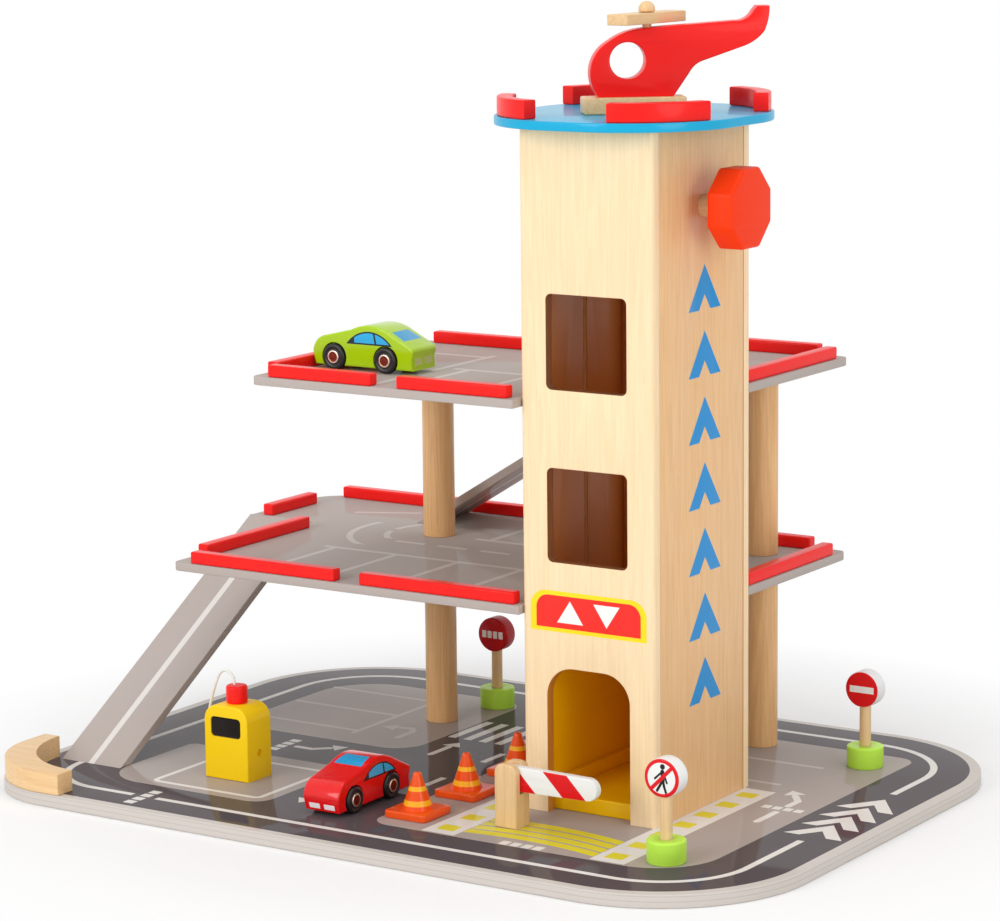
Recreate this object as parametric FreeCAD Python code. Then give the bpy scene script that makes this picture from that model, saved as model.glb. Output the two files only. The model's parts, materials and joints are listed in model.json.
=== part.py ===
"""Toy parking garage with lift: every wooden and moulded piece as its own solid, in mm.

Origin: centre of the base board's underside. +X runs to the right along the front
edge, +Y runs away from the front, +Z is up.
"""
import FreeCAD
import Part
import math
import os

os.makedirs("parts", exist_ok=True)
V = FreeCAD.Vector
X, Y, Z = V(1, 0, 0), V(0, 1, 0), V(0, 0, 1)

# Clearances
run_fit = 0.06          # radial, shaft or pin in its running hole
side_gap = 0.4          # beside a turning or sliding piece
lift_gap = 1.0          # cabin to tower panel
tongue_gap = 0.5        # cabin tongue in its groove

# Base board
base_w, base_d, base_t = 600.0, 440.0, 9.0
base_r, base_r_small = 105.0, 64.0
edge_inset = 0.8        # stopper back from the board's edge
stop_long_x, stop_long_y, stop_h, stop_hollow_r = 82.0, 84.0, 15.0, 68.0

# Tower
tower_inset = 128.5     # right face in from the board's right edge
tower_y = -82.0
tower_w, tower_d, tower_h = 101.0, 125.0, 455.0
panel_t = 8.0
panel_round = 3.5
door_w, door_h, door_r = 63.5, 99.5, 20.0
win_w, win_h, win_r = 61.0, 62.7, 4.0
win_low, win_high = 170.0, 284.4
groove_w, groove_deep, groove_drop = 5.0, 4.0, 60.0
groove_y = -14.0

# Decks; levels are top faces above the base board, insets are from the board's edges
deck_t = 6.0
level_low, level_up = 138.5, 277.0
low_inset, low_before_tower, back_inset = 80.0, 4.0, 35.0
wing_inset, low_wing_front, low_wing_r = 21.0, 86.0, 28.0
up_step, up_before_tower, up_step_back = 76.5, 9.0, 72.0
up_wing_step, up_wing_over = 3.5, 2.0
deck_r = 6.0
tower_gap = 0.3

# Rails: distance in from a board's edge, free stretch at a corner, gaps between bars
rail_w, rail_h = 9.0, 8.5
rail_soft = 1.2
rail_in, rail_corner, rail_gap = 1.5, 15.0, 21.0
low_bar, rear_bar, up_bar = 125.5, 185.0, 87.5

# Pillars, measured from the lower deck's left and back edges
pillar_dia = 23.0
pillar_left_in, pillar_left_back = 108.3, 95.0
pillar_right_back = 38.0

# Ramps
ramp_w, ramp_t, ramp_run = 53.0, 6.0, 226.0
ramp_inset, ramp_gap = 19.0, 6.0

# Crank and winding cord
shaft_r = 7.0
crank_y, crank_drop = -17.5, 53.0
knob_flat, knob_t, knob_out = 52.0, 19.0, 17.0
knob_skin, knob_soft = 6.0, 2.0
collar_r, collar_t = 12.0, 8.0
cord_r = 1.0

# Lift cabin
cabin_floor_t, cabin_wall_t, cabin_roof_t = 11.0, 5.0, 6.0
cabin_h = 110.0
cabin_front_gap = 1.5
wall_round = 24.0
floor_soft = 1.5
kerb_w, kerb_h = 5.0, 9.0

# Helipad
pad_half_x, pad_half_y, pad_r, pad_t = 83.0, 90.0, 70.0, 6.0
curb_in, curb_w, curb_h, curb_half_angle = 2.0, 10.0, 12.5, 30.0

# Helicopter; its outline is drawn from the nose at a length of 117.3
heli_l, heli_t, heli_turn = 117.3, 14.0, 39.0
heli_off_x, heli_off_y = 4.3, -8.5
heli_nose = 29.0        # nose to the middle of the skid board
skid_l, skid_w, skid_h = 67.0, 22.0, 11.0
heli_win_r = 11.8
rotor_l, rotor_w, rotor_t, rotor_turn = 67.0, 16.0, 7.0, 86.0
rotor_from_nose, rotor_over_skid = 38.0, 46.9
peg_r, peg_head_r, peg_head_h, peg_deep, peg_play = 3.0, 5.5, 7.0, 19.0, 0.4

# Cars; the side outline is drawn at a length of 85
car_l, car_w = 85.0, 29.0
wheel_dia, wheel_w, wheel_proud = 18.0, 6.0, 2.0
axle_front, axle_rear = 19.0, 62.0
axle_r, cap_r, cap_t = 1.5, 4.6, 0.4
arch_gap = 1.2
red_car_turn, red_car_before_tower, red_car_from_front = 90.0, 105.0, 93.0
green_car_in, green_car_y = 56.0, -23.5

# Barrier
post_in, post_before_tower = 7.2, 47.4
post_w, post_d, post_h = 16.7, 17.0, 43.0
arm_l, arm_h, arm_end_h, arm_t = 75.0, 17.0, 15.0, 6.0
arm_pivot_in, arm_pivot_z, arm_pin_r = 8.8, 32.5, 2.0
arm_floor = 1.5         # free depth under the arm in its slot

# Pump
pump_in, pump_from_front = 136.6, 93.6
pump_w, pump_d, pump_h = 37.0, 27.4, 52.0
pump_r, hose_hole_r, hose_hole_z, hose_hole_deep = 11.0, 2.5, 18.8, 6.0
screen_w, screen_h, screen_z, screen_deep, screen_r = 25.4, 14.0, 30.0, 0.8, 3.0
cap_dia, cap_h = 15.0, 12.5
hose_r = 1.0
hose_off, hose_up, hose_over = 2.0, 7.0, 10.5
hose_out, hose_swing, hose_drop = 1.8, 7.0, 12.0

# Signs and cones; places are measured from the board's edges and the tower
sign_base_r, sign_base_h, sign_sink = 12.75, 15.0, 12.0
sign_pole_r, sign_disc_r, sign_disc_t, sign_mid = 4.0, 12.75, 12.0, 55.5
sign_left_in, sign_left_back = 201.0, 75.0
sign_right_in, sign_right_front, sign_right_back = 85.0, 79.0, 89.0
cone_base, cone_base_h, cone_h, cone_r, cone_tip_r = 33.0, 5.0, 29.5, 10.5, 3.0
cone_corner_r = 3.0
cone_before_tower = 52.0
cone_front, cone_middle, cone_rear = 88.0, 147.0, 211.0

# Derived places and levels
left_edge, right_edge = -base_w / 2, base_w / 2
front_edge, back_edge = -base_d / 2, base_d / 2
ground = base_t
deck_low = ground + level_low
deck_up = ground + level_up
tower_top = ground + tower_h
tower_right = right_edge - tower_inset
tower_x = tower_right - tower_w
tower_back = tower_y + tower_d
tower_mid_x = tower_x + tower_w / 2
tower_mid_y = tower_y + tower_d / 2
low_left, low_front, low_back = left_edge + low_inset, tower_y - low_before_tower, back_edge - back_inset
wing_left = left_edge + wing_inset
up_left, up_front, up_back = low_left + up_step, tower_y - up_before_tower, low_back - up_step_back
up_wing_left, up_wing_back = tower_x + up_wing_step, low_back + up_wing_over
crank_z = tower_top - crank_drop
knob_x = tower_right + knob_out
pillars = ((low_left + pillar_left_in, low_back - pillar_left_back),
           (tower_mid_x + up_wing_step - 0.5, low_back - pillar_right_back))

parts = {}


def keep(node, *solids):
    """Store the solids of one named node."""
    parts[node] = list(solids)


def box(x0, x1, y0, y1, z0, z1):
    """Block between two corners."""
    return Part.makeBox(x1 - x0, y1 - y0, z1 - z0, V(x0, y0, z0))


def rod(radius, start, end):
    """Cylinder from one point to another."""
    axis = end - start
    return Part.makeCylinder(radius, axis.Length, start, axis)


def face_of(edges):
    """Flat face inside a closed run of edges."""
    return Part.Face(Part.Wire(edges))


def outline(corners, plane):
    """Closed outline with a radius at each corner, mapped by plane(u, v)."""
    count = len(corners)
    starts, arcs = [], []
    for i, (u, v, radius) in enumerate(corners):
        here = V(u, v, 0)
        before = V(*corners[i - 1][:2], 0) - here
        after = V(*corners[(i + 1) % count][:2], 0) - here
        before.normalize()
        after.normalize()
        half = before.getAngle(after) / 2
        reach = radius / math.tan(half)
        middle = before + after
        middle.normalize()
        centre = here + middle * (radius / math.sin(half))
        starts.append((here + before * reach, here + after * reach))
        arcs.append(centre - middle * radius)
    edges = []
    for i in range(count):
        first, last = starts[i]
        following = starts[(i + 1) % count][0]
        if corners[i][2] > 0:
            points = [plane(p.x, p.y) for p in (first, arcs[i], last)]
            edges.append(Part.Arc(*points).toShape())
        if (following - last).Length > 1e-6:
            edges.append(Part.makeLine(plane(last.x, last.y), plane(following.x, following.y)))
    return face_of(edges)


def flat(z):
    """Outline plane parallel to the floor."""
    return lambda u, v: V(u, v, z)


def upright(y):
    """Outline plane parallel to the front."""
    return lambda u, v: V(u, y, v)


def board(corners, z, thick):
    """Flat board with radiused corners."""
    return outline(corners, flat(z)).extrude(V(0, 0, thick))


def soften(solid, size, wanted):
    """Round the edges that the test picks."""
    edges = [e for e in solid.Edges if wanted(e)]
    return solid.makeFillet(size, edges)


def bevel(solid, size, wanted):
    """Cut a small flat bevel along the edges that the test picks."""
    edges = [e for e in solid.Edges if wanted(e)]
    return solid.makeChamfer(size, edges)


def at_height(z):
    """Pick edges lying at one height."""
    return lambda e: abs(e.BoundBox.ZMin - z) < 1e-4 and abs(e.BoundBox.ZMax - z) < 1e-4


def all_edges(edge):
    """Pick every edge."""
    return True


def rail(x0, x1, y0, y1, z):
    """Wooden kerb bar with softened edges above the deck."""
    bar = box(x0, x1, y0, y1, z, z + rail_h)
    return bevel(bar, rail_soft, lambda e: e.BoundBox.ZMax > z + 1e-4)


def make_base():
    """Base board and the curved stopper at its small corner."""
    corners = [(left_edge, front_edge, base_r_small), (right_edge, front_edge, base_r),
               (right_edge, back_edge, base_r), (left_edge, back_edge, base_r)]
    keep("base_board", board(corners, 0, base_t))

    left, front = left_edge + edge_inset, front_edge + edge_inset
    end_x, end_y = left_edge + stop_long_x, front_edge + stop_long_y
    block = [(left, front, base_r_small - edge_inset), (end_x, front, 0), (end_x, end_y, 0),
             (left, end_y, 0)]
    middle = V(end_x, end_y, ground)
    stopper = board(block, ground, stop_h)
    keep("corner_stopper", stopper.cut(rod(stop_hollow_r, middle, middle + V(0, 0, stop_h))))


def make_ramp(node, along, across, foot, rise_from, rise, width_from):
    """Sloping board with its foot and head cut to sit on the floor and meet the deck."""
    slope = math.atan2(rise, ramp_run)
    under = ramp_t / math.cos(slope)
    toe = under / math.tan(slope)
    points = [(0, 0), (toe, 0), (ramp_run, rise - under), (ramp_run, rise)]
    start = along * foot + across * width_from + Z * rise_from
    corners = [start + along * u + Z * v for u, v in points]
    edges = [Part.makeLine(corners[i - 1], corners[i]) for i in range(4)]
    keep(node, face_of(edges).extrude(across * ramp_w))


def make_ramps():
    """Lower ramp runs back at the left, upper ramp runs right behind the pillar."""
    foot = low_wing_front - ramp_run
    make_ramp("ramp_lower", Y, X, foot, ground, level_low, left_edge + ramp_inset)
    make_ramp("ramp_upper", X, Y, up_wing_left - ramp_run, deck_low, level_up - level_low,
              up_back + ramp_gap)


def make_decks():
    """Two L-shaped decks, notched round the tower."""
    left = tower_x - tower_gap
    back = tower_back + tower_gap
    lower = [
        (low_left, low_front, deck_r), (left, low_front, 0), (left, back, 0),
        (tower_right, back, 0), (tower_right, low_back, deck_r),
        (wing_left, low_back, low_wing_r), (wing_left, low_wing_front, 0),
        (low_left, low_wing_front, 0),
    ]
    upper = [
        (up_left, up_front, deck_r), (left, up_front, 0), (left, back, 0),
        (tower_right, back, 0), (tower_right, up_wing_back, deck_r),
        (up_wing_left, up_wing_back, deck_r), (up_wing_left, up_back, 0),
        (up_left, up_back, deck_r),
    ]
    for node, corners, top in (("deck_lower", lower, deck_low), ("deck_upper", upper, deck_up)):
        keep(node, board(corners, top - deck_t, deck_t))


def make_rails():
    """Kerb bars round both decks."""
    w, corner = rail_w, rail_corner
    low, up = deck_low, deck_up
    front = low_front + rail_in
    end = tower_x - 5.5
    keep("rails_lower_front", rail(end - low_bar, end, front, front + w, low),
         rail(low_left + corner, end - low_bar - rail_gap, front, front + w, low))
    wing = wing_left + w
    side = low_left + 2.0
    right = tower_right - rail_in
    keep("rails_lower_sides",
         rail(side, side + w, low_front + 27, low_wing_front - 22, low),
         rail(wing, wing + w, low_wing_front + rail_in, low_back - 40, low),
         rail(right - w, right, tower_back + 3, low_back - 17, low))
    back = low_back - 1.0
    end = tower_right - 24.5
    keep("rails_lower_rear", rail(end - rear_bar, end, back - w, back, low),
         rail(wing + 11, end - rear_bar - rail_gap, back - w, back, low))
    front = up_front + rail_in
    end = tower_x - 6.5
    keep("rails_upper_front", rail(end - up_bar, end, front, front + w, up),
         rail(up_left + corner - rail_in, end - up_bar - rail_gap, front, front + w, up))
    side = up_left + 3.5
    right = tower_right - 2.5
    keep("rails_upper_sides", rail(side, side + w, up_front + corner, up_back - 53, up),
         rail(right - w, right, tower_back + 3, up_wing_back - 13, up))
    back = up_back - 1.0
    wing_back = up_wing_back - 2.0
    keep("rails_upper_rear", rail(up_left + 19.5, tower_x - 10.5, back - w, back, up),
         rail(up_wing_left + 6, tower_right - 19.5, wing_back - w, wing_back, up))


def make_pillars():
    """Turned posts between base, lower deck and upper deck."""
    for node, low, high in (("pillars_lower", ground, deck_low - deck_t),
                            ("pillars_upper", deck_low, deck_up - deck_t)):
        keep(node, *[rod(pillar_dia / 2, V(x, y, low), V(x, y, high)) for x, y in pillars])


def arch_face(middle, width, low, high, radius, y):
    """Doorway outline with two rounded upper corners."""
    half = width / 2
    corners = [(middle - half, low, 0), (middle + half, low, 0),
               (middle + half, high, radius), (middle - half, high, radius)]
    return outline(corners, upright(y))


def make_tower():
    """Four panels; door and windows in front, exits at each deck behind."""
    deep = V(0, panel_t, 0)
    mid = tower_mid_x
    front = box(tower_x, tower_right, tower_y, tower_y + panel_t, ground, tower_top)
    front = soften(front, panel_round, lambda e: e.Length > tower_h - 1
                   and e.BoundBox.YMax < tower_y + 0.1)
    front = front.cut(arch_face(mid, door_w, ground, ground + door_h, door_r, tower_y).extrude(deep))
    half = win_w / 2
    for low in (win_low, win_high):
        z0 = ground + low
        z1 = z0 + win_h
        corners = [(mid - half, z0, win_r), (mid + half, z0, win_r),
                   (mid + half, z1, win_r), (mid - half, z1, win_r)]
        front = front.cut(outline(corners, upright(tower_y)).extrude(deep))
    keep("tower_front_panel", front)

    y_back = tower_back - panel_t
    back = box(tower_x, tower_right, y_back, tower_back, ground, tower_top)
    for level in (deck_low, deck_up):
        exit_hole = arch_face(mid, door_w, level, level + door_h, door_r, y_back)
        back = back.cut(exit_hole.extrude(deep))
    keep("tower_back_panel", back)

    y_front = tower_y + panel_t
    groove_half = groove_w / 2
    for node, x, inside in (("tower_left_panel", tower_x, tower_x + panel_t),
                            ("tower_right_panel", tower_right - panel_t, tower_right - panel_t)):
        side = box(x, x + panel_t, y_front, y_back, ground, tower_top)
        groove = box(inside - groove_deep, inside + groove_deep, groove_y - groove_half,
                     groove_y + groove_half, ground, tower_top - groove_drop)
        side = side.cut(groove)
        hole = rod(shaft_r + run_fit, V(x, crank_y, crank_z), V(x + panel_t, crank_y, crank_z))
        keep(node, side.cut(hole))


def make_crank():
    """Octagonal knob, shaft across the tower, two collars and the winding cord."""
    z = crank_z
    keep("crank_shaft", rod(shaft_r, V(tower_x, crank_y, z),
                            V(knob_x + knob_t - knob_skin, crank_y, z)))
    collars = []
    for x in (tower_x + panel_t + side_gap, tower_right - panel_t - side_gap - collar_t):
        near, far = V(x, crank_y, z), V(x + collar_t, crank_y, z)
        collars.append(rod(collar_r, near, far).cut(rod(shaft_r, near, far)))
    keep("crank_collars", *collars)

    wide = knob_flat / math.cos(math.pi / 8) / 2
    points = []
    for i in range(8):
        turn = math.pi / 8 + i * math.pi / 4
        points.append((crank_y + wide * math.cos(turn), z + wide * math.sin(turn), 0))
    knob = outline(points, lambda u, v: V(knob_x, u, v)).extrude(V(knob_t, 0, 0))
    knob = bevel(knob, knob_soft, all_edges)
    bore = rod(shaft_r, V(knob_x, crank_y, z), V(knob_x + knob_t - knob_skin, crank_y, z))
    keep("crank_knob", knob.cut(bore))

    cord_y = crank_y - shaft_r - cord_r
    low = ground + cabin_h
    keep("lift_cord", rod(cord_r, V(tower_mid_x, cord_y, low), V(tower_mid_x, cord_y, z)))


def make_cabin():
    """Open-ended car that rides up and down inside the tower."""
    x0 = tower_x + panel_t + lift_gap
    x1 = tower_right - panel_t - lift_gap
    y0 = tower_y + panel_t + cabin_front_gap
    y1 = tower_back - panel_t - lift_gap
    z0 = ground
    z1 = z0 + cabin_floor_t
    top = z0 + cabin_h
    wall_top = top - cabin_roof_t
    floor = box(x0, x1, y0, y1, z0, z1)
    keep("cabin_floor", bevel(floor, floor_soft, lambda e: e.Length > 50 and e.BoundBox.ZMax > z1 - 0.1
                               and e.BoundBox.YLength < 1))
    keep("cabin_roof", box(x0, x1, y0, y1, wall_top, top))
    tongue = groove_w / 2 - tongue_gap
    reach = lift_gap + groove_deep - tongue_gap
    for node, x, outside, kerb in (
            ("cabin_left_wall", x0, x0 - reach, x0 + cabin_wall_t),
            ("cabin_right_wall", x1 - cabin_wall_t, x1, x1 - cabin_wall_t - kerb_w)):
        half = (y0 + y1) / 2
        corners = [(y0, z1, 0), (y1, z1, 0), (y1, wall_top, wall_round), (y0, wall_top, wall_round)]
        wall = outline(corners, lambda u, v: V(x, u, v)).extrude(V(cabin_wall_t, 0, 0))
        guide = box(outside, outside + reach, groove_y - tongue, groove_y + tongue, z1, wall_top)
        foot = box(kerb, kerb + kerb_w, y0, y1, z1, z1 + kerb_h)
        keep(node, wall.fuse([guide, foot]).removeSplitter())


def make_helipad():
    """Roof board and four curved landing kerbs."""
    cx, cy = tower_mid_x, tower_mid_y
    hx, hy = pad_half_x, pad_half_y
    signs = ((-1, -1), (1, -1), (1, 1), (-1, 1))
    corners = [(cx + sx * hx, cy + sy * hy, pad_r) for sx, sy in signs]
    slab = board(corners, tower_top, pad_t)
    top = tower_top + pad_t
    keep("helipad_board", slab)
    outer = pad_r - curb_in
    curbs = []
    for sx, sy in signs:
        centre = V(cx + sx * (hx - pad_r), cy + sy * (hy - pad_r), top)
        mid = math.degrees(math.atan2(sy, sx))

        def ring(radius, offset):
            turn = math.radians(mid + offset)
            return centre + V(radius * math.cos(turn), radius * math.sin(turn), 0)

        inner = outer - curb_w
        a = curb_half_angle
        curbs.append(face_of([
            Part.Arc(ring(outer, -a), ring(outer, 0), ring(outer, a)).toShape(),
            Part.makeLine(ring(outer, a), ring(inner, a)),
            Part.Arc(ring(inner, a), ring(inner, 0), ring(inner, -a)).toShape(),
            Part.makeLine(ring(inner, -a), ring(outer, -a)),
        ]).extrude(V(0, 0, curb_h)))
    keep("helipad_curbs", *curbs)


def make_helicopter():
    """Plywood helicopter plate on a skid board, with a rotor on a mushroom peg."""
    top = tower_top + pad_t
    foot = top + skid_h
    y = -heli_t / 2
    scale = heli_l / 117.3

    def p(u, v):
        return V(u * scale - heli_nose, y, foot + v * scale)

    def line(a, b):
        return Part.makeLine(p(*a), p(*b))

    def arc(a, b, c):
        return Part.Arc(p(*a), p(*b), p(*c)).toShape()

    plate = face_of([
        line((54.5, 0), (5.7, 0)),
        arc((5.7, 0), (0, 15.5), (11.7, 35.5)),
        arc((11.7, 35.5), (22.2, 41.3), (35.6, 44.2)),
        line((35.6, 44.2), (94.7, 48)),
        arc((94.7, 48), (103, 50), (107, 54.5)),
        line((107, 54.5), (109.4, 57.3)),
        line((109.4, 57.3), (117.3, 57.3)),
        arc((117.3, 57.3), (116.4, 48), (114, 41)),
        arc((114, 41), (108.9, 36), (100.4, 31.5)),
        line((100.4, 31.5), (74.5, 22.8)),
        arc((74.5, 22.8), (68.8, 19.9), (65, 15.3)),
        line((65, 15.3), (54.5, 0)),
    ]).extrude(V(0, heli_t, 0))
    plate = plate.cut(rod(heli_win_r, p(24.6, 23.4), p(24.6, 23.4) + V(0, heli_t, 0)))
    spot = V(rotor_from_nose - heli_nose, 0, 0)
    rotor_low = foot + rotor_over_skid
    rotor_high = rotor_low + rotor_t
    head_low = rotor_high + peg_play
    foot_of_peg = V(spot.x, 0, rotor_low - peg_deep)
    plate = plate.cut(rod(peg_r, foot_of_peg, V(spot.x, 0, rotor_low)))
    stem = rod(peg_r, foot_of_peg, V(spot.x, 0, head_low))
    head = rod(peg_head_r, V(spot.x, 0, head_low), V(spot.x, 0, head_low + peg_head_h))
    head = bevel(head, peg_head_r / 2, at_height(head_low + peg_head_h))
    rotor = box(spot.x - rotor_l / 2, spot.x + rotor_l / 2, -rotor_w / 2, rotor_w / 2,
                rotor_low, rotor_high)
    rotor = rotor.cut(rod(peg_r + run_fit, V(spot.x, 0, rotor_low), V(spot.x, 0, rotor_high)))
    rotor.rotate(spot, Z, rotor_turn - heli_turn)
    skid = box(-skid_l / 2, skid_l / 2, -skid_w / 2, skid_w / 2, top, foot)
    place = V(tower_mid_x + heli_off_x, tower_mid_y + heli_off_y, 0)
    for node, solid in (("helicopter_body", plate), ("rotor_peg", stem.fuse(head).removeSplitter()),
                        ("rotor_blade", rotor), ("helicopter_skid", skid)):
        solid.rotate(V(0, 0, 0), Z, heli_turn)
        solid.translate(place)
        keep(node, solid)


def make_car(name, centre, turn):
    """Small wooden car: shaped body, two axles with capped ends, four wheels."""
    r = wheel_dia / 2
    half = car_w / 2
    nose = -car_l / 2
    scale = car_l / 85

    def p(u, v):
        return V(nose + u * scale, -half, v * scale)

    def line(a, b):
        return Part.makeLine(p(*a), p(*b))

    def arc(a, b, c):
        return Part.Arc(p(*a), p(*b), p(*c)).toShape()

    body = face_of([
        line((84, 3), (3, 3)),
        line((3, 3), (0.5, 12)),
        arc((0.5, 12), (3.4, 19.2), (12, 23.7)),
        line((12, 23.7), (33, 28.7)),
        arc((33, 28.7), (50, 32.2), (66, 27.4)),
        line((66, 27.4), (83, 18.8)),
        arc((83, 18.8), (84.8, 17.2), (84.8, 15)),
        line((84.8, 15), (83.6, 11)),
        line((83.6, 11), (84, 3)),
    ]).extrude(V(0, car_w, 0))
    pocket = wheel_w - wheel_proud + side_gap
    outer = half + wheel_proud
    nodes = {}
    for which, at in (("front", axle_front), ("rear", axle_rear)):
        x = nose + at
        for side in (-1, 1):
            arch = rod(r + arch_gap, V(x, side * half, r), V(x, side * (half - pocket), r))
            body = body.cut(arch)
        body = body.cut(rod(axle_r + run_fit, V(x, -half, r), V(x, half, r)))
        face = outer - cap_t
        axle = rod(axle_r, V(x, -face, r), V(x, face, r))
        wheels, caps = [], []
        for side in (-1, 1):
            inner = V(x, side * (outer - wheel_w), r)
            rim = V(x, side * face, r)
            wheels.append(rod(r, rim, inner).cut(rod(axle_r, rim, inner)))
            caps.append(rod(cap_r, V(x, side * outer, r), rim))
        nodes[f"{name}_{which}_axle"] = [axle.fuse(caps).removeSplitter()]
        nodes[f"{name}_{which}_wheels"] = wheels
    nodes[f"{name}_body"] = [body]
    for node, solids in nodes.items():
        for solid in solids:
            solid.rotate(V(0, 0, 0), Z, turn)
            solid.translate(centre)
        keep(node, *solids)


def make_barrier():
    """Post with a slot, and a striped arm that swings up on a pin."""
    x0, y0 = tower_x + post_in, tower_y - post_before_tower
    x1, y1 = x0 + post_w, y0 + post_d
    mid_y = (y0 + y1) / 2
    z1 = ground + post_h
    corners = [(x0, ground, 0), (x1, ground, 0), (x1, z1, post_w / 2 - 0.01),
               (x0, z1, post_w / 2 - 0.01)]
    post = outline(corners, upright(y0)).extrude(V(0, post_d, 0))
    slot = arm_t / 2 + side_gap
    pivot_z = ground + arm_pivot_z
    half = arm_h / 2
    post = post.cut(box(x0 - 1, x1 + 1, mid_y - slot, mid_y + slot, pivot_z - half - arm_floor, z1 + 1))
    px = x0 + arm_pivot_in
    post = post.cut(rod(arm_pin_r, V(px, y0, pivot_z), V(px, y1, pivot_z)))
    keep("barrier_post", post)
    keep("barrier_pin", rod(arm_pin_r, V(px, y0, pivot_z), V(px, y1, pivot_z)))

    def p(u, v):
        return V(px + u, mid_y - arm_t / 2, pivot_z + v)

    reach = arm_l - half
    end = arm_end_h / 2
    tip = reach - end
    arm = face_of([
        Part.Arc(p(0, half), p(-half, 0), p(0, -half)).toShape(),
        Part.makeLine(p(0, -half), p(tip, -end)),
        Part.Arc(p(tip, -end), p(reach, 0), p(tip, end)).toShape(),
        Part.makeLine(p(tip, end), p(0, half)),
    ]).extrude(V(0, arm_t, 0))
    hole = rod(arm_pin_r + run_fit, V(px, y0, pivot_z), V(px, y1, pivot_z))
    keep("barrier_arm", arm.cut(hole))


def smooth_path(points, tight):
    """Straight runs joined by tangent arcs; prints the bend radii."""
    arcs = []
    for i in range(1, len(points) - 1):
        here = points[i]
        before = points[i - 1] - here
        after = points[i + 1] - here
        short = min(before.Length, after.Length)
        turn = math.pi - before.getAngle(after)
        reach = 0.45 * short
        radius = reach / math.tan(turn / 2)
        before.normalize()
        after.normalize()
        middle = before + after
        middle.normalize()
        centre = here + middle * (radius / math.cos(turn / 2))
        arcs.append((here + before * reach, centre - middle * radius, here + after * reach))
        print("bend", i, "radius", round(radius, 2), "turn", round(math.degrees(turn), 1))
    edges, last = [], points[0]
    for first, top, end in arcs:
        edges.append(Part.LineSegment(last, first).toShape())
        edges.append(Part.Arc(first, top, end).toShape())
        last = end
    edges.append(Part.LineSegment(last, points[-1]).toShape())
    return Part.Wire(edges)


def make_pump():
    """Fuel pump block with a screen recess, a round cap and a string hose."""
    x0, y0 = left_edge + pump_in, front_edge + pump_from_front
    x1, y1 = x0 + pump_w, y0 + pump_d
    mid_x, mid_y = (x0 + x1) / 2, (y0 + y1) / 2
    z1 = ground + pump_h
    corners = [(x0, ground, 0), (x1, ground, 0), (x1, z1, pump_r), (x0, z1, pump_r)]
    body = outline(corners, upright(y0)).extrude(V(0, pump_d, 0))
    low = ground + screen_z
    half = screen_w / 2
    pane = [(mid_x - half, low, screen_r), (mid_x + half, low, screen_r),
            (mid_x + half, low + screen_h, screen_r), (mid_x - half, low + screen_h, screen_r)]
    body = body.cut(outline(pane, upright(y0)).extrude(V(0, screen_deep, 0)))
    hole_z = ground + hose_hole_z
    bore_end = V(x0 + hose_hole_deep, mid_y, hole_z)
    body = body.cut(rod(hose_hole_r, V(x0, mid_y, hole_z), bore_end))
    keep("pump_body", body)
    keep("pump_cap", rod(cap_dia / 2, V(mid_x, mid_y, z1), V(mid_x, mid_y, z1 + cap_h)))

    start = V(mid_x - hose_off, mid_y, z1 + cap_h)
    points = [start, start + V(0, 0, hose_up), start + V(-hose_over - 0.5, 0, hose_over),
              V(x0 - hose_out, mid_y, z1 + hose_up), V(x0 - hose_swing, mid_y, z1 - hose_drop),
              V(x0 - hose_swing + 0.5, mid_y, hole_z), bore_end]
    wire = smooth_path(points, hose_r)
    circle = Part.Wire(Part.makeCircle(hose_r, points[0], points[1] - points[0]))
    hose = wire.makePipeShell([circle], True, False)
    expected = math.pi * hose_r ** 2 * wire.Length
    print("hose length", round(wire.Length, 1), "volume", round(hose.Volume, 1),
          "expected", round(expected, 1))
    keep("pump_hose", hose)


def make_signs():
    """Round signs on poles; each disc sits on its pole with a small flat."""
    right = right_edge - sign_right_in
    spots = (("sign_left", left_edge + sign_left_in, back_edge - sign_left_back),
             ("sign_front", right, front_edge + sign_right_front),
             ("sign_rear", right, back_edge - sign_right_back))
    mid = ground + sign_mid
    flat_z = mid - math.sqrt(sign_disc_r ** 2 - sign_pole_r ** 2)
    half = sign_disc_t / 2
    for name, x, y in spots:
        foot = rod(sign_base_r, V(x, y, ground), V(x, y, ground + sign_base_h))
        pole = rod(sign_pole_r, V(x, y, ground + sign_base_h - sign_sink), V(x, y, flat_z))
        disc = rod(sign_disc_r, V(x, y - half, mid), V(x, y + half, mid))
        below = box(x - sign_disc_r, x + sign_disc_r, y - half, y + half, ground, flat_z)
        keep(name + "_base", foot.cut(pole))
        keep(name + "_pole", pole)
        keep(name + "_disc", disc.cut(below))


def make_cones():
    """Square-footed traffic cones in a row beside the tower."""
    x = tower_x - cone_before_tower
    half, r = cone_base / 2, cone_corner_r
    top = ground + cone_base_h
    for name, row in (("cone_front", cone_front), ("cone_middle", cone_middle),
                      ("cone_rear", cone_rear)):
        y = front_edge + row
        corners = [(x - half, y - half, r), (x + half, y - half, r),
                   (x + half, y + half, r), (x - half, y + half, r)]
        foot = board(corners, ground, cone_base_h)
        cone = Part.makeCone(cone_r, cone_tip_r, cone_h - cone_base_h, V(x, y, top))
        keep(name, foot.fuse(cone).removeSplitter())


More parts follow.
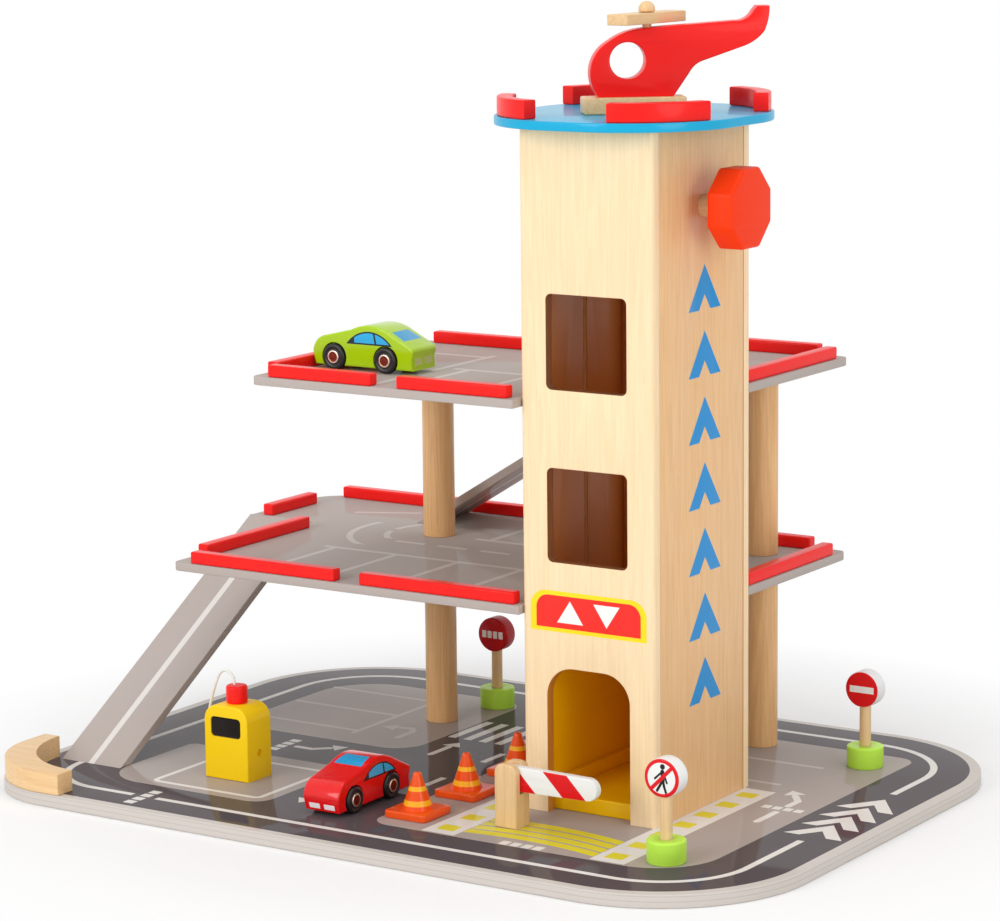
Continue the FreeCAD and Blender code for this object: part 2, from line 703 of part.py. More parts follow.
def main():
    """Build every piece and write one STEP file per node."""
    make_base()
    make_ramps()
    make_decks()
    make_rails()
    make_pillars()
    make_tower()
    make_crank()
    make_cabin()
    make_helipad()
    make_helicopter()
    red_x, red_y = tower_x - red_car_before_tower, front_edge + red_car_from_front
    make_car("red_car", V(red_x, red_y, ground), red_car_turn)
    make_car("green_car", V(up_left + green_car_in, green_car_y, deck_up), 0)
    make_barrier()
    make_pump()
    make_signs()
    make_cones()
    for node, solids in parts.items():
        bad = [s for s in solids if not s.isValid() or s.Volume <= 0]
        if bad:
            print("CHECK", node, len(bad))
        shape = solids[0] if len(solids) == 1 else Part.makeCompound(solids)
        shape.exportStep(f"parts/{node}.step")
    print("nodes", len(parts))


main()
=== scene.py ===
"""Toy parking garage with lift: the visible pieces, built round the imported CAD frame.

Every length in this file is in millimetres of the row frame until a mesh is
finished, when it is scaled to metres.
"""
import json
import logging
import math
from dataclasses import dataclass
from enum import Enum
from typing import Callable, Sequence, Union

import bmesh
import bpy
from mathutils import Matrix, Vector


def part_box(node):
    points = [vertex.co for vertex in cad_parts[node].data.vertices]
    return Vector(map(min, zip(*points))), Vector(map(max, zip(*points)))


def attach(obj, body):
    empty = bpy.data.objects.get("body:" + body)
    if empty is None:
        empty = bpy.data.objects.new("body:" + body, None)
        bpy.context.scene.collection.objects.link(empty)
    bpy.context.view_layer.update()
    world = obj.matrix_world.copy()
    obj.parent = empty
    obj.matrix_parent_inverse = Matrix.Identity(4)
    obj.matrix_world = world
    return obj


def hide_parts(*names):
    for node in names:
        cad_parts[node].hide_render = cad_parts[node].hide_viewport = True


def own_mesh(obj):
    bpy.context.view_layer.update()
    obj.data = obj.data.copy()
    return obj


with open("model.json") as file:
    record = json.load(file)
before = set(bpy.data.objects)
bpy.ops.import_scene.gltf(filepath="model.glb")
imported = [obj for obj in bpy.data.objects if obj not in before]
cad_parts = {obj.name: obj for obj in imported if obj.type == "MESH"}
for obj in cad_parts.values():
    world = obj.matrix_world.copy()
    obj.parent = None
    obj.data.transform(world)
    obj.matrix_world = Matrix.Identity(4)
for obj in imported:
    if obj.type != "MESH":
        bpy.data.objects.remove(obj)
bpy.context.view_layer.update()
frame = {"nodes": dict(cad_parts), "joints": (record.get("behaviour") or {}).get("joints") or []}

log = logging.getLogger("toy_garage")

MM = 0.001
Point = tuple[float, float]
Colour = tuple[float, float, float]


def srgb(red: int, green: int, blue: int) -> Colour:
    """Linear colour from display values of 0 to 255."""
    def linear(value: int) -> float:
        """One channel."""
        part = value / 255
        return part / 12.92 if part <= 0.04045 else ((part + 0.055) / 1.055) ** 2.4
    return linear(red), linear(green), linear(blue)


class Sock:
    """A shader socket that can be written in arithmetic."""

    def __init__(self, tree: "Shader", socket: bpy.types.NodeSocket) -> None:
        """Wrap one output socket of a shader tree."""
        self.tree = tree
        self.socket = socket

    def _op(self, name: str, *others: "Value") -> "Sock":
        """Join this socket and other values with a math node."""
        return self.tree.math(name, self, *others)

    def __add__(self, other: "Value") -> "Sock":
        """Sum."""
        return self._op("ADD", other)

    __radd__ = __add__

    def __sub__(self, other: "Value") -> "Sock":
        """Difference."""
        return self._op("SUBTRACT", other)

    def __rsub__(self, other: "Value") -> "Sock":
        """Difference with the socket on the right."""
        return self.tree.math("SUBTRACT", other, self)

    def __mul__(self, other: "Value") -> "Sock":
        """Product."""
        return self._op("MULTIPLY", other)

    __rmul__ = __mul__

    def __truediv__(self, other: "Value") -> "Sock":
        """Quotient."""
        return self._op("DIVIDE", other)

    def __rtruediv__(self, other: "Value") -> "Sock":
        """Quotient with the socket below."""
        return self.tree.math("DIVIDE", other, self)

    def __or__(self, other: "Value") -> "Sock":
        """Union of two masks."""
        return self._op("MAXIMUM", other)

    def __and__(self, other: "Value") -> "Sock":
        """Overlap of two masks."""
        return self._op("MINIMUM", other)

    def __invert__(self) -> "Sock":
        """Everything outside a mask."""
        return 1 - self

    def __abs__(self) -> "Sock":
        """Size without sign."""
        return self._op("ABSOLUTE")


Value = Union[Sock, float]


class Shader:
    """One material's node tree with its coordinates in millimetres."""

    def __init__(self, name: str) -> None:
        """Make an empty material that ends in a principled shader."""
        self.material = bpy.data.materials.new(name)
        self.material.use_nodes = True
        self.nodes = self.material.node_tree.nodes
        self.links = self.material.node_tree.links
        self.nodes.clear()
        self.out = self.nodes.new("ShaderNodeOutputMaterial")
        self.bsdf = self.nodes.new("ShaderNodeBsdfPrincipled")
        self.links.new(self.bsdf.outputs["BSDF"], self.out.inputs["Surface"])
        coords = self.nodes.new("ShaderNodeTexCoord")
        self.place = self.node("ShaderNodeVectorMath", "Vector", {0: coords.outputs["Object"]},
                               operation="SCALE")
        self.place.socket.node.inputs["Scale"].default_value = 1 / MM
        split = self.nodes.new("ShaderNodeSeparateXYZ")
        self.links.new(self.place.socket, split.inputs[0])
        self.x, self.y, self.z = (Sock(self, split.outputs[i]) for i in range(3))

    def put(self, socket: bpy.types.NodeSocket, value: object) -> None:
        """Link or set one input."""
        if isinstance(value, Sock):
            self.links.new(value.socket, socket)
        elif isinstance(value, bpy.types.NodeSocket):
            self.links.new(value, socket)
        elif isinstance(value, tuple) and socket.type == "RGBA":
            socket.default_value = (*value[:3], 1.0)
        else:
            socket.default_value = value

    def give(self, name: str, value: object) -> None:
        """Link or set one input of the principled shader."""
        self.put(self.bsdf.inputs[name], value)

    def node(self, kind: str, output: Union[str, int], inputs: dict, **settings: object) -> Sock:
        """Make a node.

        Args:
            kind: the node's type name.
            output: name or number of the output that is returned.
            inputs: values or sockets by input name or number.
            **settings: properties of the node, such as its operation.

        Returns:
            The wrapped output socket.
        """
        made = self.nodes.new(kind)
        for key, value in settings.items():
            setattr(made, key, value)
        for key, value in inputs.items():
            self.put(made.inputs[key], value)
        return Sock(self, made.outputs[output])

    def math(self, operation: str, *values: Value) -> Sock:
        """Math node on up to three values."""
        return self.node("ShaderNodeMath", 0, dict(enumerate(values)), operation=operation)

    def clamp(self, value: Value) -> Sock:
        """Limit to 0 to 1."""
        return self.node("ShaderNodeClamp", 0, {"Value": value})

    def inside(self, distance: Value, soft: float = 0.25) -> Sock:
        """Mask that is 1 where a signed distance is negative."""
        return self.clamp(0.5 - distance / soft)

    def above(self, value: Value, level: float, soft: float = 0.25) -> Sock:
        """Mask that is 1 where a value passes a level."""
        return self.clamp((value - level) / soft + 0.5)

    def between(self, value: Sock, low: float, high: float, soft: float = 0.25) -> Sock:
        """Mask that is 1 between two levels."""
        return self.inside(abs(value - (low + high) / 2) - (high - low) / 2, soft)

    def box_distance(self, u: Sock, v: Sock, low: Point, high: Point, radius: Value = 0.0) -> Sock:
        """Signed distance to a rounded rectangle.

        Args:
            u: first coordinate.
            v: second coordinate.
            low: lower corner.
            high: upper corner.
            radius: corner radius, which may vary over the plane.

        Returns:
            The distance in millimetres, negative inside.
        """
        du = abs(u - (low[0] + high[0]) / 2) - (high[0] - low[0]) / 2 + radius
        dv = abs(v - (low[1] + high[1]) / 2) - (high[1] - low[1]) / 2 + radius
        pu, pv = self.math("MAXIMUM", du, 0.0), self.math("MAXIMUM", dv, 0.0)
        far = self.math("SQRT", pu * pu + pv * pv)
        near = self.math("MINIMUM", self.math("MAXIMUM", du, dv), 0.0)
        return far + near - radius

    def rect(self, u: Sock, v: Sock, low: Point, high: Point, radius: Value = 0.0) -> Sock:
        """Filled rounded rectangle."""
        return self.inside(self.box_distance(u, v, low, high, radius))

    def frame(self, u: Sock, v: Sock, low: Point, high: Point, radius: Value, wide: float) -> Sock:
        """Line of a given width round a rounded rectangle."""
        return self.inside(abs(self.box_distance(u, v, low, high, radius)) - wide / 2)

    def corner_radius(self, u: Sock, v: Sock, mid: Point, radii: Sequence[float]) -> Sock:
        """Radius that differs by quarter: left low, right low, right high, left high."""
        right = self.math("GREATER_THAN", u, mid[0])
        high = self.math("GREATER_THAN", v, mid[1])
        low_side = radii[0] + right * (radii[1] - radii[0])
        high_side = radii[3] + right * (radii[2] - radii[3])
        return low_side + high * (high_side - low_side)

    def disc(self, u: Sock, v: Sock, centre: Point, radius: float) -> Sock:
        """Filled circle."""
        return self.inside(self.far(u, v, centre) - radius)

    def far(self, u: Sock, v: Sock, centre: Point) -> Sock:
        """Distance from a point."""
        du, dv = u - centre[0], v - centre[1]
        return self.math("SQRT", du * du + dv * dv)

    def stroke(self, u: Sock, v: Sock, start: Point, end: Point, wide: float) -> Sock:
        """Straight line with round ends."""
        ax, ay = end[0] - start[0], end[1] - start[1]
        du, dv = u - start[0], v - start[1]
        along = self.clamp((du * ax + dv * ay) / (ax * ax + ay * ay))
        pu, pv = du - along * ax, dv - along * ay
        return self.inside(self.math("SQRT", pu * pu + pv * pv) - wide / 2)

    def convex(self, u: Sock, v: Sock, corners: Sequence[Point]) -> Sock:
        """Filled convex outline, its corners going round to the left."""
        worst: Sock | None = None
        for (ax, ay), (bx, by) in zip(corners, [*corners[1:], corners[0]]):
            length = math.hypot(bx - ax, by - ay)
            nx, ny = (by - ay) / length, (ax - bx) / length
            side = u * nx + v * ny - (ax * nx + ay * ny)
            worst = side if worst is None else self.math("MAXIMUM", worst, side)
        return self.inside(worst)

    def mix(self, mask: Value, low: object, high: object) -> Sock:
        """Colour that goes from low to high with a mask."""
        made = self.nodes.new("ShaderNodeMix")
        made.data_type = "RGBA"
        for socket in made.inputs:
            if socket.type == "RGBA":
                self.put(socket, low if socket.name == "A" else high)
            elif socket.name == "Factor" and socket.type == "VALUE":
                self.put(socket, mask)
        return Sock(self, next(o for o in made.outputs if o.type == "RGBA"))

    def plain(self, colour: Colour) -> Sock:
        """One colour as a socket."""
        return self.mix(0.0, colour, colour)

    def tint(self, colour: object, factor: Value) -> Sock:
        """Colour made lighter or darker by a factor."""
        if not isinstance(colour, Sock):
            colour = self.plain(colour)
        return self.node("ShaderNodeVectorMath", 0, {0: colour, "Scale": factor}, operation="SCALE")

    def stretched(self, scale: Colour) -> Sock:
        """Place in millimetres, stretched per axis."""
        return self.node("ShaderNodeVectorMath", 0, {0: self.place, 1: scale}, operation="MULTIPLY")

    def noise(self, scale: Colour, detail: float = 3.0) -> Sock:
        """Soft noise of 0 to 1, with cells per millimetre along each axis."""
        return self.node("ShaderNodeTexNoise", 0, {"Vector": self.stretched(scale), "Scale": 1.0,
                                                   "Detail": detail})

    def bump(self, height: Value, depth: float) -> Sock:
        """Normal from a height in millimetres."""
        return self.node("ShaderNodeBump", 0, {"Height": height * (depth * MM), "Distance": 1.0})


class Grain(Enum):
    """Axis along which the wood's grain runs."""

    ALONG_X = (0.02, 0.5, 0.5)
    ALONG_Y = (0.5, 0.02, 0.5)
    ALONG_Z = (0.5, 0.5, 0.02)


@dataclass(frozen=True)
class Paint:
    """Glossy coloured lacquer on wood, with the grain faintly under it."""

    name: str
    colour: Colour
    grain: Grain = Grain.ALONG_X
    rough: float = 0.32
    coat: float = 0.12
    show: float = 0.05
    relief: float = 0.03
    gloss: float = 0.15

    def finish(self, picture: Callable[["Shader"], Sock] | None = None) -> bpy.types.Material:
        """Build the material, with a printed picture over the colour if one is given."""
        shader = Shader(self.name)
        base = picture(shader) if picture else shader.plain(self.colour)
        streaks = shader.noise(self.grain.value, 4.0)
        scuffs = shader.noise((0.06, 0.06, 0.06), 5.0)
        fine = shader.noise(tuple(v * 3 for v in self.grain.value), 2.0)
        shader.give("Base Color", shader.tint(base, 1 - self.show / 2 + streaks * self.show))
        shader.give("Roughness", self.rough - 0.04 + scuffs * 0.08)
        shader.give("Specular IOR Level", self.gloss)
        shader.give("Coat Weight", self.coat - 0.03 + scuffs * 0.06)
        shader.give("Coat Roughness", 0.06)
        shader.give("Normal", shader.bump(streaks + fine * 0.4, self.relief))
        return shader.material


@dataclass(frozen=True)
class Wood:
    """Clear-lacquered bare wood with fine grain lines and darker growth rings."""

    name: str
    pale: Colour
    dark: Colour
    grain: Grain = Grain.ALONG_Z
    rough: float = 0.42
    coat: float = 0.25
    contrast: float = 1.0

    def finish(self, picture: Callable[["Shader", Sock], Sock] | None = None) -> bpy.types.Material:
        """Build the material, with a printed picture over the wood if one is given."""
        shader = Shader(self.name)
        wide = shader.noise(tuple(v * 0.16 for v in self.grain.value), 3.0)
        lines = shader.noise(tuple(v * 1.5 for v in self.grain.value), 4.0)
        pores = shader.noise(tuple(v * 5 for v in self.grain.value), 2.0)
        rings = shader.math("SINE", wide * 60.0) * 0.5 + 0.5
        mask = shader.clamp((rings * 0.3 + lines * 0.9 - 0.25) * self.contrast)
        base = shader.mix(mask, self.pale, self.dark)
        flecks = shader.above(pores, 0.66, 0.1) * 0.12
        base = shader.tint(base, 1.02 - flecks)
        if picture:
            base = picture(shader, base)
        shader.give("Base Color", base)
        shader.give("Roughness", self.rough - 0.05 + lines * 0.12)
        shader.give("Specular IOR Level", 0.3)
        shader.give("Coat Weight", self.coat * 0.6)
        shader.give("Coat Roughness", 0.2)
        shader.give("Normal", shader.bump(lines + pores * 0.6, 0.06))
        return shader.material


@dataclass(frozen=True)
class Metal:
    """Plain metal with fine turning marks."""

    name: str
    colour: Colour
    rough: float = 0.28

    def finish(self, picture: Callable[["Shader"], Sock] | None = None) -> bpy.types.Material:
        """Build the material, with a second colour where a picture gives one."""
        shader = Shader(self.name)
        marks = shader.noise((1.5, 1.5, 1.5), 3.0)
        base = picture(shader) if picture else self.colour
        shader.give("Base Color", shader.tint(base, 0.92 + marks * 0.16))
        shader.give("Metallic", 1.0)
        shader.give("Roughness", self.rough + marks * 0.12)
        return shader.material


@dataclass(frozen=True)
class Moulding:
    """Moulded black plastic or rubber."""

    name: str
    colour: Colour
    rough: float = 0.38

    def finish(self) -> bpy.types.Material:
        """Build the material."""
        shader = Shader(self.name)
        dust = shader.noise((0.5, 0.5, 0.5), 4.0)
        shader.give("Base Color", shader.tint(self.colour, 0.85 + dust * 0.3))
        shader.give("Roughness", self.rough - 0.05 + dust * 0.15)
        shader.give("Normal", shader.bump(dust, 0.02))
        return shader.material


@dataclass(frozen=True)
class Box:
    """Extent of a CAD node, in millimetres."""

    low: Vector
    high: Vector

    @classmethod
    def of(cls, node: str) -> "Box":
        """Extent of a whole node."""
        low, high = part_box(node)
        return cls(low / MM, high / MM)

    @property
    def middle(self) -> Vector:
        """Centre of the box."""
        return (self.low + self.high) / 2

    @property
    def size(self) -> Vector:
        """Edge lengths of the box."""
        return self.high - self.low


def islands(node: str) -> list[Box]:
    """Extent of each separate solid in a CAD node, from left to right."""
    mesh = bmesh.new()
    mesh.from_mesh(frame["nodes"][node].data)
    bmesh.ops.remove_doubles(mesh, verts=mesh.verts, dist=1e-6)
    left = set(mesh.verts)
    found: list[Box] = []
    while left:
        todo = [left.pop()]
        points = []
        while todo:
            here = todo.pop()
            points.append(here.co / MM)
            for edge in here.link_edges:
                other = edge.other_vert(here)
                if other in left:
                    left.remove(other)
                    todo.append(other)
        found.append(Box(Vector(map(min, *points)), Vector(map(max, *points))))
    mesh.free()
    return sorted(found, key=lambda b: (round(b.low.x), b.low.y, b.low.z))


def rounded(corners: Sequence[tuple[float, float, float]], steps: int = 12) -> list[Point]:
    """Outline with an arc of the given radius at each corner.

    Args:
        corners: place and radius of each corner, in order.
        steps: segments of a quarter turn.

    Returns:
        The outline's points.
    """
    points: list[Point] = []
    count = len(corners)
    for i, (u, v, radius) in enumerate(corners):
        here = Vector((u, v))
        if radius <= 0:
            points.append((u, v))
            continue
        before = (Vector(corners[i - 1][:2]) - here).normalized()
        after = (Vector(corners[(i + 1) % count][:2]) - here).normalized()
        half = before.angle(after) / 2
        centre = here + (before + after).normalized() * (radius / math.sin(half))
        first = here + before * (radius / math.tan(half)) - centre
        last = here + after * (radius / math.tan(half)) - centre
        turn = first.angle_signed(last)
        number = max(2, math.ceil(abs(turn) / (math.pi / 2) * steps))
        for k in range(number + 1):
            point = centre + Matrix.Rotation(-turn * k / number, 2) @ first
            points.append((point.x, point.y))
    return points


def rect(low: Point, high: Point, radius: float = 0.0) -> list[Point]:
    """Rounded rectangle outline."""
    (a, b), (c, d) = low, high
    return rounded([(a, b, radius), (c, b, radius), (c, d, radius), (a, d, radius)], 8)


def circle(centre: Point, radius: float, steps: int = 48) -> list[Point]:
    """Round outline."""
    turns = (math.tau * k / steps for k in range(steps))
    return [(centre[0] + radius * math.cos(t), centre[1] + radius * math.sin(t)) for t in turns]


def through(start: Point, top: Point, end: Point, steps: int = 10) -> list[Point]:
    """Points of the arc through three points, without its last one."""
    (ax, ay), (bx, by), (cx, cy) = start, top, end
    d = 2 * (ax * (by - cy) + bx * (cy - ay) + cx * (ay - by))
    a2, b2, c2 = ax * ax + ay * ay, bx * bx + by * by, cx * cx + cy * cy
    centre = Vector(((a2 * (by - cy) + b2 * (cy - ay) + c2 * (ay - by)) / d,
                     (a2 * (cx - bx) + b2 * (ax - cx) + c2 * (bx - ax)) / d))
    first, middle, last = (Vector(p) - centre for p in (start, top, end))
    turn = first.angle_signed(middle) + middle.angle_signed(last)
    points = [centre + Matrix.Rotation(-turn * k / steps, 2) @ first for k in range(steps)]
    return [(p.x, p.y) for p in points]


FLAT = Matrix.Identity(4)
UPRIGHT = Matrix(((1, 0, 0, 0), (0, 0, -1, 0), (0, 1, 0, 0), (0, 0, 0, 1)))
SIDEWAYS = Matrix(((0, 0, 1, 0), (1, 0, 0, 0), (0, 1, 0, 0), (0, 0, 0, 1)))


@dataclass
class Piece:
    """One visible piece: its mesh in millimetres and how it joins the model."""

    name: str
    mesh: bmesh.types.BMesh

    def turned(self, matrix: Matrix) -> "Piece":
        """Move or turn the piece."""
        bmesh.ops.transform(self.mesh, matrix=matrix, verts=self.mesh.verts)
        return self

    def joined(self, other: "Piece") -> "Piece":
        """Add another piece's mesh to this one."""
        spare = bpy.data.meshes.new("spare")
        other.mesh.to_mesh(spare)
        self.mesh.from_mesh(spare)
        bpy.data.meshes.remove(spare)
        other.mesh.free()
        return self

    def minus(self, *cutters: "Piece") -> "Piece":
        """Cut other pieces out of this one."""
        for cutter in cutters:
            for mesh in (self.mesh, cutter.mesh):
                bmesh.ops.recalc_face_normals(mesh, faces=mesh.faces)
            body, tool = self._object("body"), cutter._object("tool")
            cut = body.modifiers.new("cut", "BOOLEAN")
            cut.operation, cut.object, cut.solver = "DIFFERENCE", tool, "EXACT"
            graph = bpy.context.evaluated_depsgraph_get()
            result = bpy.data.meshes.new_from_object(body.evaluated_get(graph))
            self.mesh.clear()
            self.mesh.from_mesh(result)
            for spare in (body, tool):
                data = spare.data
                bpy.data.objects.remove(spare)
                bpy.data.meshes.remove(data)
            bpy.data.meshes.remove(result)
            cutter.mesh.free()
        return self

    def _object(self, name: str) -> bpy.types.Object:
        """Object made of the mesh so far."""
        data = bpy.data.meshes.new(name)
        self.mesh.to_mesh(data)
        made = bpy.data.objects.new(name, data)
        bpy.context.scene.collection.objects.link(made)
        return made

    def done(self, material: bpy.types.Material, body: str, slot: str,
             *nodes: str, smooth: float = 35.0) -> bpy.types.Object:
        """Finish the mesh as an object of the model.

        Args:
            material: the finish.
            body: CAD body that it rides on.
            slot: material slot of the record; not used.
            *nodes: CAD nodes that it stands for.
            smooth: edges flatter than this angle in degrees are shaded smooth.

        Returns:
            The finished object.
        """
        bmesh.ops.remove_doubles(self.mesh, verts=self.mesh.verts, dist=1e-4)
        bmesh.ops.recalc_face_normals(self.mesh, faces=self.mesh.faces)
        bmesh.ops.scale(self.mesh, vec=(MM, MM, MM), verts=self.mesh.verts)
        made = self._object(self.name)
        made.data.name = self.name
        for polygon in made.data.polygons:
            polygon.use_smooth = True
        made.data.set_sharp_from_angle(angle=math.radians(smooth))
        made.data.materials.append(material)
        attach(made, body)
        if nodes:
            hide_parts(*nodes)
        log.info("%s on %s, %d faces", self.name, body, len(made.data.polygons))
        self.mesh.free()
        return made


def plate(name: str, loops: Sequence[Sequence[Point]], low: float, high: float,
          edge: float = 0.5, plane: Matrix = FLAT, steps: int = 2) -> Piece:
    """Flat piece with rounded edges, cut to an outline with holes.

    Args:
        name: the piece's name.
        loops: outer outline first, then the holes.
        low: start of the thickness along the plane's normal.
        high: end of the thickness.
        edge: radius of its edges.
        plane: turns the drawing's plane into the row frame.
        steps: segments of an edge's rounding.

    Returns:
        The piece, in millimetres.
    """
    curve = bpy.data.curves.new(name, "CURVE")
    curve.dimensions = "2D"
    curve.fill_mode = "BOTH"
    curve.extrude = (high - low) / 2 - edge
    curve.bevel_depth = edge
    curve.bevel_resolution = steps
    curve.offset = -edge
    for loop in loops:
        spline = curve.splines.new("POLY")
        spline.points.add(len(loop) - 1)
        for point, (u, v) in zip(spline.points, loop):
            point.co = (u, v, 0, 1)
        spline.use_cyclic_u = True
    holder = bpy.data.objects.new(name, curve)
    bpy.context.scene.collection.objects.link(holder)
    graph = bpy.context.evaluated_depsgraph_get()
    data = bpy.data.meshes.new_from_object(holder.evaluated_get(graph))
    mesh = bmesh.new()
    mesh.from_mesh(data)
    bpy.data.objects.remove(holder)
    bpy.data.curves.remove(curve)
    bpy.data.meshes.remove(data)
    bmesh.ops.remove_doubles(mesh, verts=mesh.verts, dist=1e-4)
    piece = Piece(name, mesh)
    return piece.turned(plane @ Matrix.Translation((0, 0, (low + high) / 2)))


def lathe(name: str, profile: Sequence[Point], centre: Vector, axis: Vector = Vector((0, 0, 1)),
          steps: int = 64) -> Piece:
    """Turned piece.

    Args:
        name: the piece's name.
        profile: radius and height along the axis, from bottom to top.
        centre: foot of the axis.
        axis: direction of the axis.
        steps: segments round the axis.

    Returns:
        The piece, in millimetres.
    """
    mesh = bmesh.new()
    verts = [mesh.verts.new((r, 0, h)) for r, h in profile]
    edges = [mesh.edges.new(pair) for pair in zip(verts, verts[1:])]
    bmesh.ops.spin(mesh, geom=[*verts, *edges], cent=(0, 0, 0), axis=(0, 0, 1), dvec=(0, 0, 0),
                   angle=math.tau, steps=steps, use_merge=True)
    bmesh.ops.remove_doubles(mesh, verts=mesh.verts, dist=1e-4)
    turn = Vector((0, 0, 1)).rotation_difference(axis).to_matrix().to_4x4()
    return Piece(name, mesh).turned(Matrix.Translation(centre) @ turn)


def turned_profile(radius: float, low: float, high: float, edge: float,
                   bore: float = 0.0, steps: int = 4) -> list[Point]:
    """Profile of a cylinder with rounded rims."""
    quarter = [math.pi / 2 * k / steps for k in range(steps + 1)]
    bottom = [(radius - edge + edge * math.sin(t), low + edge - edge * math.cos(t)) for t in quarter]
    top = [(radius - edge + edge * math.cos(t), high - edge + edge * math.sin(t)) for t in quarter]
    points = [(bore, low), *bottom, *top, (bore, high)]
    return [*points, points[0]] if bore else points


def rod(name: str, radius: float, start: Vector, end: Vector, edge: float = 0.4,
        bore: float = 0.0, steps: int = 48) -> Piece:
    """Round rod or ring between two points."""
    axis = end - start
    return lathe(name, turned_profile(radius, 0, axis.length, edge, bore), start, axis, steps)


def bar(name: str, box: Box, edge: float = 1.0, grow: float = 0.0) -> Piece:
    """Straight bar that fills a box, all its edges rounded."""
    low = (box.low.x - grow, box.low.y - grow)
    high = (box.high.x + grow, box.high.y + grow)
    return plate(name, [rect(low, high, edge)], box.low.z - grow, box.high.z + grow, edge, FLAT, 3)


RED = Paint("red_paint", srgb(246, 28, 24))
BLUE = Paint("blue_paint", srgb(0, 168, 212), Grain.ALONG_X, 0.35, 0.3)
ORANGE = Paint("orange_paint", srgb(248, 56, 0), Grain.ALONG_Y, 0.45, 0.04)
YELLOW = Paint("yellow_paint", srgb(255, 200, 0), Grain.ALONG_Y, 0.36, 0.3)
PUMP_YELLOW = Paint("pump_yellow_paint", srgb(255, 212, 20), Grain.ALONG_Z, 0.4, 0.12)
LIME = Paint("lime_paint", srgb(196, 246, 84), Grain.ALONG_Z, 0.4, 0.12)
WHITE = Paint("white_paint", srgb(242, 241, 240), Grain.ALONG_Z, 0.4, 0.15, 0.03)
PLY = Wood("plywood", srgb(250, 224, 184), srgb(238, 204, 156), Grain.ALONG_Z, 0.45, 0.2, 0.9)
# stands for the shade inside the tower, as the photo shows it
SHAFT_PAINTED_SHADE = srgb(208, 130, 60)
# brown of the laser-cut edges: the real char, made darker as painted shade of the openings
BURN_AND_SHADE = Wood("laser_edge_and_painted_shade", srgb(150, 92, 48), srgb(112, 62, 30), Grain.ALONG_Z, 0.6, 0.05)
BEECH = Wood("beech", srgb(236, 200, 150), srgb(216, 172, 118), Grain.ALONG_X, 0.42, 0.25)
BEECH_UP = Wood("beech_upright", srgb(238, 204, 156), srgb(220, 178, 124), Grain.ALONG_Z, 0.42, 0.25)
DOWEL = Wood("dowel", srgb(242, 196, 140), srgb(216, 162, 104), Grain.ALONG_Z, 0.4, 0.3)
TYRE = Moulding("tyre_black", srgb(26, 24, 26))
COPPER = Metal("copper_cap", srgb(134, 62, 48), 0.3)
STEEL = Metal("steel_pin", srgb(186, 160, 128), 0.5)
BURN_AND_SHADE_EDGE = BURN_AND_SHADE.finish()

ROAD = srgb(88, 80, 83)
ISLAND = srgb(172, 160, 154)
BOARD_EDGE = srgb(205, 198, 191)
MARK = srgb(226, 221, 216)
FAINT = srgb(198, 188, 183)
SIGNAL = srgb(222, 208, 60)
DECK = srgb(184, 173, 167)
LANE = srgb(206, 199, 194)
SIGN_RED = srgb(226, 16, 26)
SIGN_WHITE = srgb(240, 240, 238)
WHOLE_RAMP = 999.0


def first_only(node: str, k: int) -> list[str]:
    """The CAD node for the first of several objects that stand for it, else nothing."""
    return [node] if k == 0 else []


def board_paint(name: str, grain: Grain = Grain.ALONG_X) -> Paint:
    """Printed satin finish of the decks and ramps."""
    return Paint(name, DECK, grain, 0.4, 0.14, 0.03, 0.01, 0.0)


def word_bars(shader: Shader, u: Sock, v: Sock, low: Point, high: Point, count: int) -> Sock:
    """Plain bars in the place of a printed word, side by side along the longer way."""
    wide, tall = high[0] - low[0], high[1] - low[1]
    mask: Sock | None = None
    for k in range(count):
        if wide > tall:
            a, b = low[0] + wide * (k + 0.12) / count, low[0] + wide * (k + 0.88) / count
            bar_mask = shader.rect(u, v, (a, low[1]), (b, high[1]), 0.6)
        else:
            a, b = low[1] + tall * (k + 0.12) / count, low[1] + tall * (k + 0.88) / count
            bar_mask = shader.rect(u, v, (low[0], a), (high[0], b), 0.6)
        mask = bar_mask if mask is None else mask | bar_mask
    return mask


def arrow(shader: Shader, u: Sock, v: Sock, tail: Point, tip: Point, wide: float = 5.0) -> Sock:
    """Straight arrow with a triangular head."""
    along = Vector((tip[0] - tail[0], tip[1] - tail[1])).normalized()
    across = Vector((-along.y, along.x)) * wide * 1.5
    neck = Vector(tip) - along * wide * 2.2
    head = [tuple(neck + across), tuple(neck - across), tip]
    return shader.stroke(u, v, tail, tuple(neck - along * wide / 2), wide) \
        | shader.convex(u, v, head)


